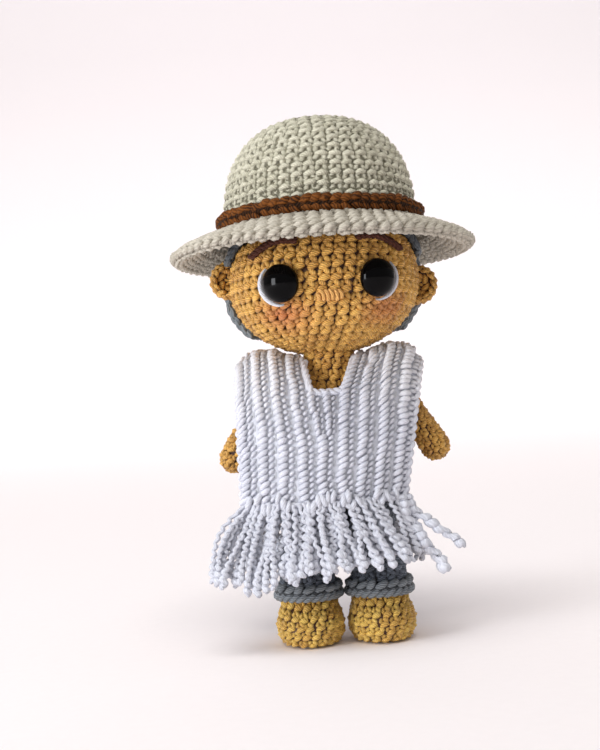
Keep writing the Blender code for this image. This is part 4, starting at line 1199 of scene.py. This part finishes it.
fringeShape = dict(count=34, layers=3, wave=0.5 * mm, strand=0.64 * mm, end=1.0 * mm, pitch=2.5 * mm,
                   bead=2.2 * mm, out=2.2 * mm, variety=1.6 * mm, sparse=0.62,
                   flare=[(-1, -12.7), (-0.8, -8), (-0.6, -3.5), (-0.45, -0.5), (0, 2.2), (0.25, 7.5),
                          (0.6, 8.5), (1, 6.5)],
                   drop=[(-1, 21), (-0.8, 25.5), (-0.6, 26.5), (-0.45, 23.5), (0, 21.5), (0.25, 20.5),
                         (0.6, 18.5), (1, 19)],
                   ropes=[(0.97, 15.0, 17.5, 1.35), (0.90, 10.6, 24.0, 1.65)],
                   backFlare=5.0 * mm, backDrop=25.0 * mm)


def fringeStrand(root, aside, fall, facing, layer, thick, random, curve):
    # a crimped strand that ends in fatter beads
    shape = fringeShape
    length = sqrt(aside ** 2 + fall ** 2)
    phase = random.uniform(0, tau)
    swing = random.uniform(-1.9, 1.9) * mm
    pitch = shape["pitch"] * random.uniform(0.85, 1.2)
    rows = int(length / pitch * 9)
    strand = []
    for row in range(rows + 1):
        share = row / rows
        lean = 1 - (1 - share) ** 1.8 if curve else share
        ahead = facing * (shape["out"] - 1.2 * mm * layer) * share
        spot = root + np.array([aside * lean + swing * sin(share * 5), ahead, -fall * share])
        spin = phase + tau * share * length / pitch
        reach = shape["wave"] * (1 + 0.3 * sin(share * 9 + phase)) * min(1, share * 8)
        reach *= (thick / shape["strand"]) ** 0.3
        spot = spot + np.array([cos(spin), 0.45 * sin(spin), 0.15 * cos(spin)]) * reach
        late = min(max(share - 0.68, 0) / 0.2, 1)
        size = thick + max(shape["end"] - thick, 0) * late
        beads = 0.26 if thick > mm else 0.10 + 0.16 * late
        size *= 1 + beads * sin(tau * share * length / shape["bead"] + phase)
        strand.append((*spot, size * (0.6 if row == rows else 1)))
    return strand


def buildFringe(name, facing):
    shape = fringeShape
    surface, _ = panelSurface(facing)
    random = np.random.RandomState(101 + facing)
    strands, bobbles = [], []

    def rootAt(across, layer):
        root = surface(np.array([-facing * across]), np.array([0.6 * mm + random.uniform(-0.4, 0.8) * mm]))[0]
        root[1] += facing * (1.2 - 1.1 * layer) * mm
        return root
    for layer in range(shape["layers"]):
        for number in range(shape["count"] - layer % 2):
            across = (2 * (number + 0.5 * (layer % 2)) / (shape["count"] - 1) - 1) * 0.96
            root = rootAt(across, layer)
            aside, fall = shape["backFlare"] * across, shape["backDrop"]
            if facing < 0:
                aside, fall = [np.interp(across, *zip(*shape[key])) * mm for key in ("flare", "drop")]
            aside += random.normal(0, 1.2 * mm)
            fall += random.uniform(-1, 1) * shape["variety"] - layer * 0.8 * mm
            if facing > 0 or across < shape["sparse"] or (layer == 0 and number % 2):
                strands.append(fringeStrand(root, aside, fall, facing, layer, shape["strand"], random,
                                            facing < 0 and across < -0.4))
            if layer == 0 and random.uniform(0, 1) < 0.6:
                # the loop that ties the strand over the hem
                lean, big = random.uniform(-1.1, 1.1), random.uniform(0.75, 1.1)
                side = root + np.array([0, 0, random.uniform(-1.6, 1.8) * mm])
                bobbles.append([(*(side + np.array([x * lean, facing * out, z]) * mm), thick * big * mm)
                                for x, out, z, thick in ((-0.9, -0.7, 1.9, 0.5), (-0.4, 0.3, 0.9, 0.95),
                                                         (0.4, 0.5, -0.4, 1.0), (0.9, 0.0, -1.7, 0.7))])
    if facing < 0:
        for across, aside, fall, thick in shape["ropes"]:
            root = rootAt(across, 0)
            strands.append(fringeStrand(root, aside * mm, fall * mm, facing, 0, thick * mm, random, False))
    mesh = cordMesh(strands, turns=-36)
    ties = cordMesh(bobbles, turns=-4, tone=0.8)
    return makePiece(f"{name}_curls", [mesh, ties], fringeYarn, "doll", [name])


def buildPoncho():
    frontCloth, frontRibs = buildPanel("poncho_front", -1)
    backCloth, backRibs = buildPanel("poncho_back", 1)
    frontCurls = buildFringe("front_fringe", -1)
    backCurls = buildFringe("back_fringe", 1)
    front, behind = openingRoute()
    middle = (0, 0, 75 * mm)
    puffs = ropeOf(front, 1.1 * mm, 4.6 * mm, middle) + chainOf(behind, 2.4 * mm, 1.3 * mm, middle)
    neckline = makePiece("neckline_edge", [cordMesh(puffs, turns=3)], whiteYarn, "doll", ())
    shape = ponchoShape
    stitches = []
    for side in (-1, 1):
        for number in range(11):
            x = side * (11.4 + 1.7 * number) * mm
            height = seamAt(x) + 0.2 * mm
            stitches.append([(x + lean * mm, place * mm, height + rise * mm, thick * mm)
                             for lean, place, rise, thick in shape["seamStitch"]])
    seam = makePiece("shoulder_seam", [cordMesh(stitches, turns=3)], whiteYarn, "doll", ())


buildPoncho()
print("poncho made")


# Filling and the washers, which stay inside

def fillingMaterial():
    material, shader, wire = newMaterial("fibreFill", 1.0, 0.4)
    spot = wire.place()
    tuft = wire.noise(spot, 500.0, 5.0)
    tuft.mix(colour(214, 212, 206), colour(246, 245, 240)).feed(shader, "Base Color")
    wire.bump(tuft, 0.9, 0.6 * mm).feed(shader, "Normal")
    return material


def washerMaterial():
    material, shader, wire = newMaterial("washerPlastic", 0.4)
    spot = wire.place()
    cloud = wire.noise(spot, 260.0, 2.0)
    cloud.mix(colour(205, 205, 200), colour(228, 228, 224)).feed(shader, "Base Color")
    (cloud * 0.2 + 0.3).feed(shader, "Roughness")
    return material


def buildFilling(name, body):
    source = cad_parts[name]
    made = bmesh.new()
    made.from_mesh(source.data)
    bmesh.ops.remove_doubles(made, verts=made.verts, dist=1e-6)
    bmesh.ops.recalc_face_normals(made, faces=made.faces)
    made.normal_update()
    for vert in made.verts:
        # tufts of fibre, a little inside the solid
        tuft = sin(vert.co.x * 900) * sin(vert.co.y * 1100 + 1) * sin(vert.co.z * 1000 + 2)
        vert.co -= vert.normal * (0.75 + 0.25 * tuft) * mm
    piece = makePiece(f"{name}_fibre", [meshFrom(made, "filling")], fibreFill, body, [name])


fibreFill = fillingMaterial()
for name, body in (("body_stuffing", "doll"), ("left_leg_stuffing", "doll"),
                   ("right_leg_stuffing", "doll"), ("head_stuffing", "head")):
    buildFilling(name, body)
washerPlastic = washerMaterial()
for name in ("left_eye_washer", "right_eye_washer"):
    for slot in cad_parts[name].material_slots:
        slot.material = washerPlastic
print("filling made")


# Camera, light and floor

camera = dict(distance=350 * mm, aside=-10.0 * mm, height=75.6 * mm, turn=1.5, up=1.985, roll=3.7, lens=50.4)


def placeCamera():
    turn, up, roll = (radians(camera[key]) for key in ("turn", "up", "roll"))
    spin = Matrix.Rotation(-turn, 3, "Z")
    forward = spin @ Vector((0, cos(up), sin(up)))
    right = spin @ Vector((1, 0, 0))
    top = right.cross(forward)
    axes = Matrix((right * cos(roll) - top * sin(roll), top * cos(roll) + right * sin(roll), -forward))
    data = bpy.data.cameras.new("camera")
    data.lens = camera["lens"]
    data.sensor_width = 36
    data.clip_start = 0.01
    item = bpy.data.objects.new("camera", data)
    place = spin @ Vector((camera["aside"], -camera["distance"], 0)) + Vector((0, 0, camera["height"]))
    item.matrix_world = Matrix.Translation(place) @ axes.transposed().to_4x4()
    scene.collection.objects.link(item)
    scene.camera = item


lights = dict(
    sun=dict(turn=-12, rise=64, energy=1.7, angle=radians(40), color=(1.0, 0.985, 0.965)),
    window=dict(place=(-0.76, -0.48, 0.145), aim=(0, 0, 0.11), shape="RECTANGLE", energy=6.2, size=0.27,
                size_y=0.44, color=(0.93, 0.96, 1.0)),
    wall=dict(place=(0, 0.9, 3.2), aim=(0, 4.2, 2.1), energy=22.0, size=2.6, color=(1.0, 0.955, 0.98)),
)   # the wall's lamp stands behind the doll
worldLight = 0.35


def placeLights():
    for name, settings in lights.items():
        settings = dict(settings)
        data = bpy.data.lights.new(name, "AREA" if "aim" in settings else "SUN")
        item = bpy.data.objects.new(name, data)
        if "aim" in settings:
            item.location = settings.pop("place")
            away = Vector(item.location) - Vector(settings.pop("aim"))
        else:
            turn, rise = radians(settings.pop("turn")), radians(settings.pop("rise"))
            away = Vector((sin(turn) * cos(rise), -cos(turn) * cos(rise), sin(rise)))
        item.rotation_euler = away.to_track_quat("Z", "Y").to_euler()
        for key, value in settings.items():
            setattr(data, key, value)
        scene.collection.objects.link(item)
    world = bpy.data.worlds.new("studio")
    scene.world = world
    world.use_nodes = True
    world.node_tree.nodes["Background"].inputs["Color"].default_value = (1.0, 0.985, 0.975, 1.0)
    world.node_tree.nodes["Background"].inputs["Strength"].default_value = worldLight
    scene.view_settings.view_transform = "Standard"


def placeFloor():
    made = bmesh.new()
    bmesh.ops.create_grid(made, x_segments=1, y_segments=1, size=2.5)
    bmesh.ops.scale(made, verts=made.verts, vec=(2, 1, 1))
    bmesh.ops.translate(made, verts=made.verts, vec=(0, 1.2, 0))
    back = [edge for edge in made.edges if all(vert.co.y > 3 for vert in edge.verts)]
    grown = bmesh.ops.extrude_edge_only(made, edges=back)["geom"]
    raised = [item for item in grown if isinstance(item, bmesh.types.BMVert)]
    bmesh.ops.translate(made, verts=raised, vec=(0, 0, 4))
    bmesh.ops.bevel(made, geom=back, offset=1.5, segments=12, profile=0.5, affect="EDGES", material=-1)
    bmesh.ops.recalc_face_normals(made, faces=made.faces)
    mesh = meshFrom(made, "studio_floor")
    mesh.shade_smooth()
    material, shader, wire = newMaterial("palePaper", 0.9)
    spot = wire.place()
    grain = wire.noise(spot, 300.0, 2.0)
    shade = grain.mix(colour(251, 245, 246), colour(255, 249, 250))
    blob(wire, spot, (0, 3.6, 1.5), (6, 3.2, 6)).mix(shade, colour(255, 250, 252)).feed(shader, "Base Color")
    mesh.materials.append(material)
    item = bpy.data.objects.new("studio_floor", mesh)
    scene.collection.objects.link(item)


placeCamera()
placeLights()
placeFloor()
print("camera, lights and floor placed")
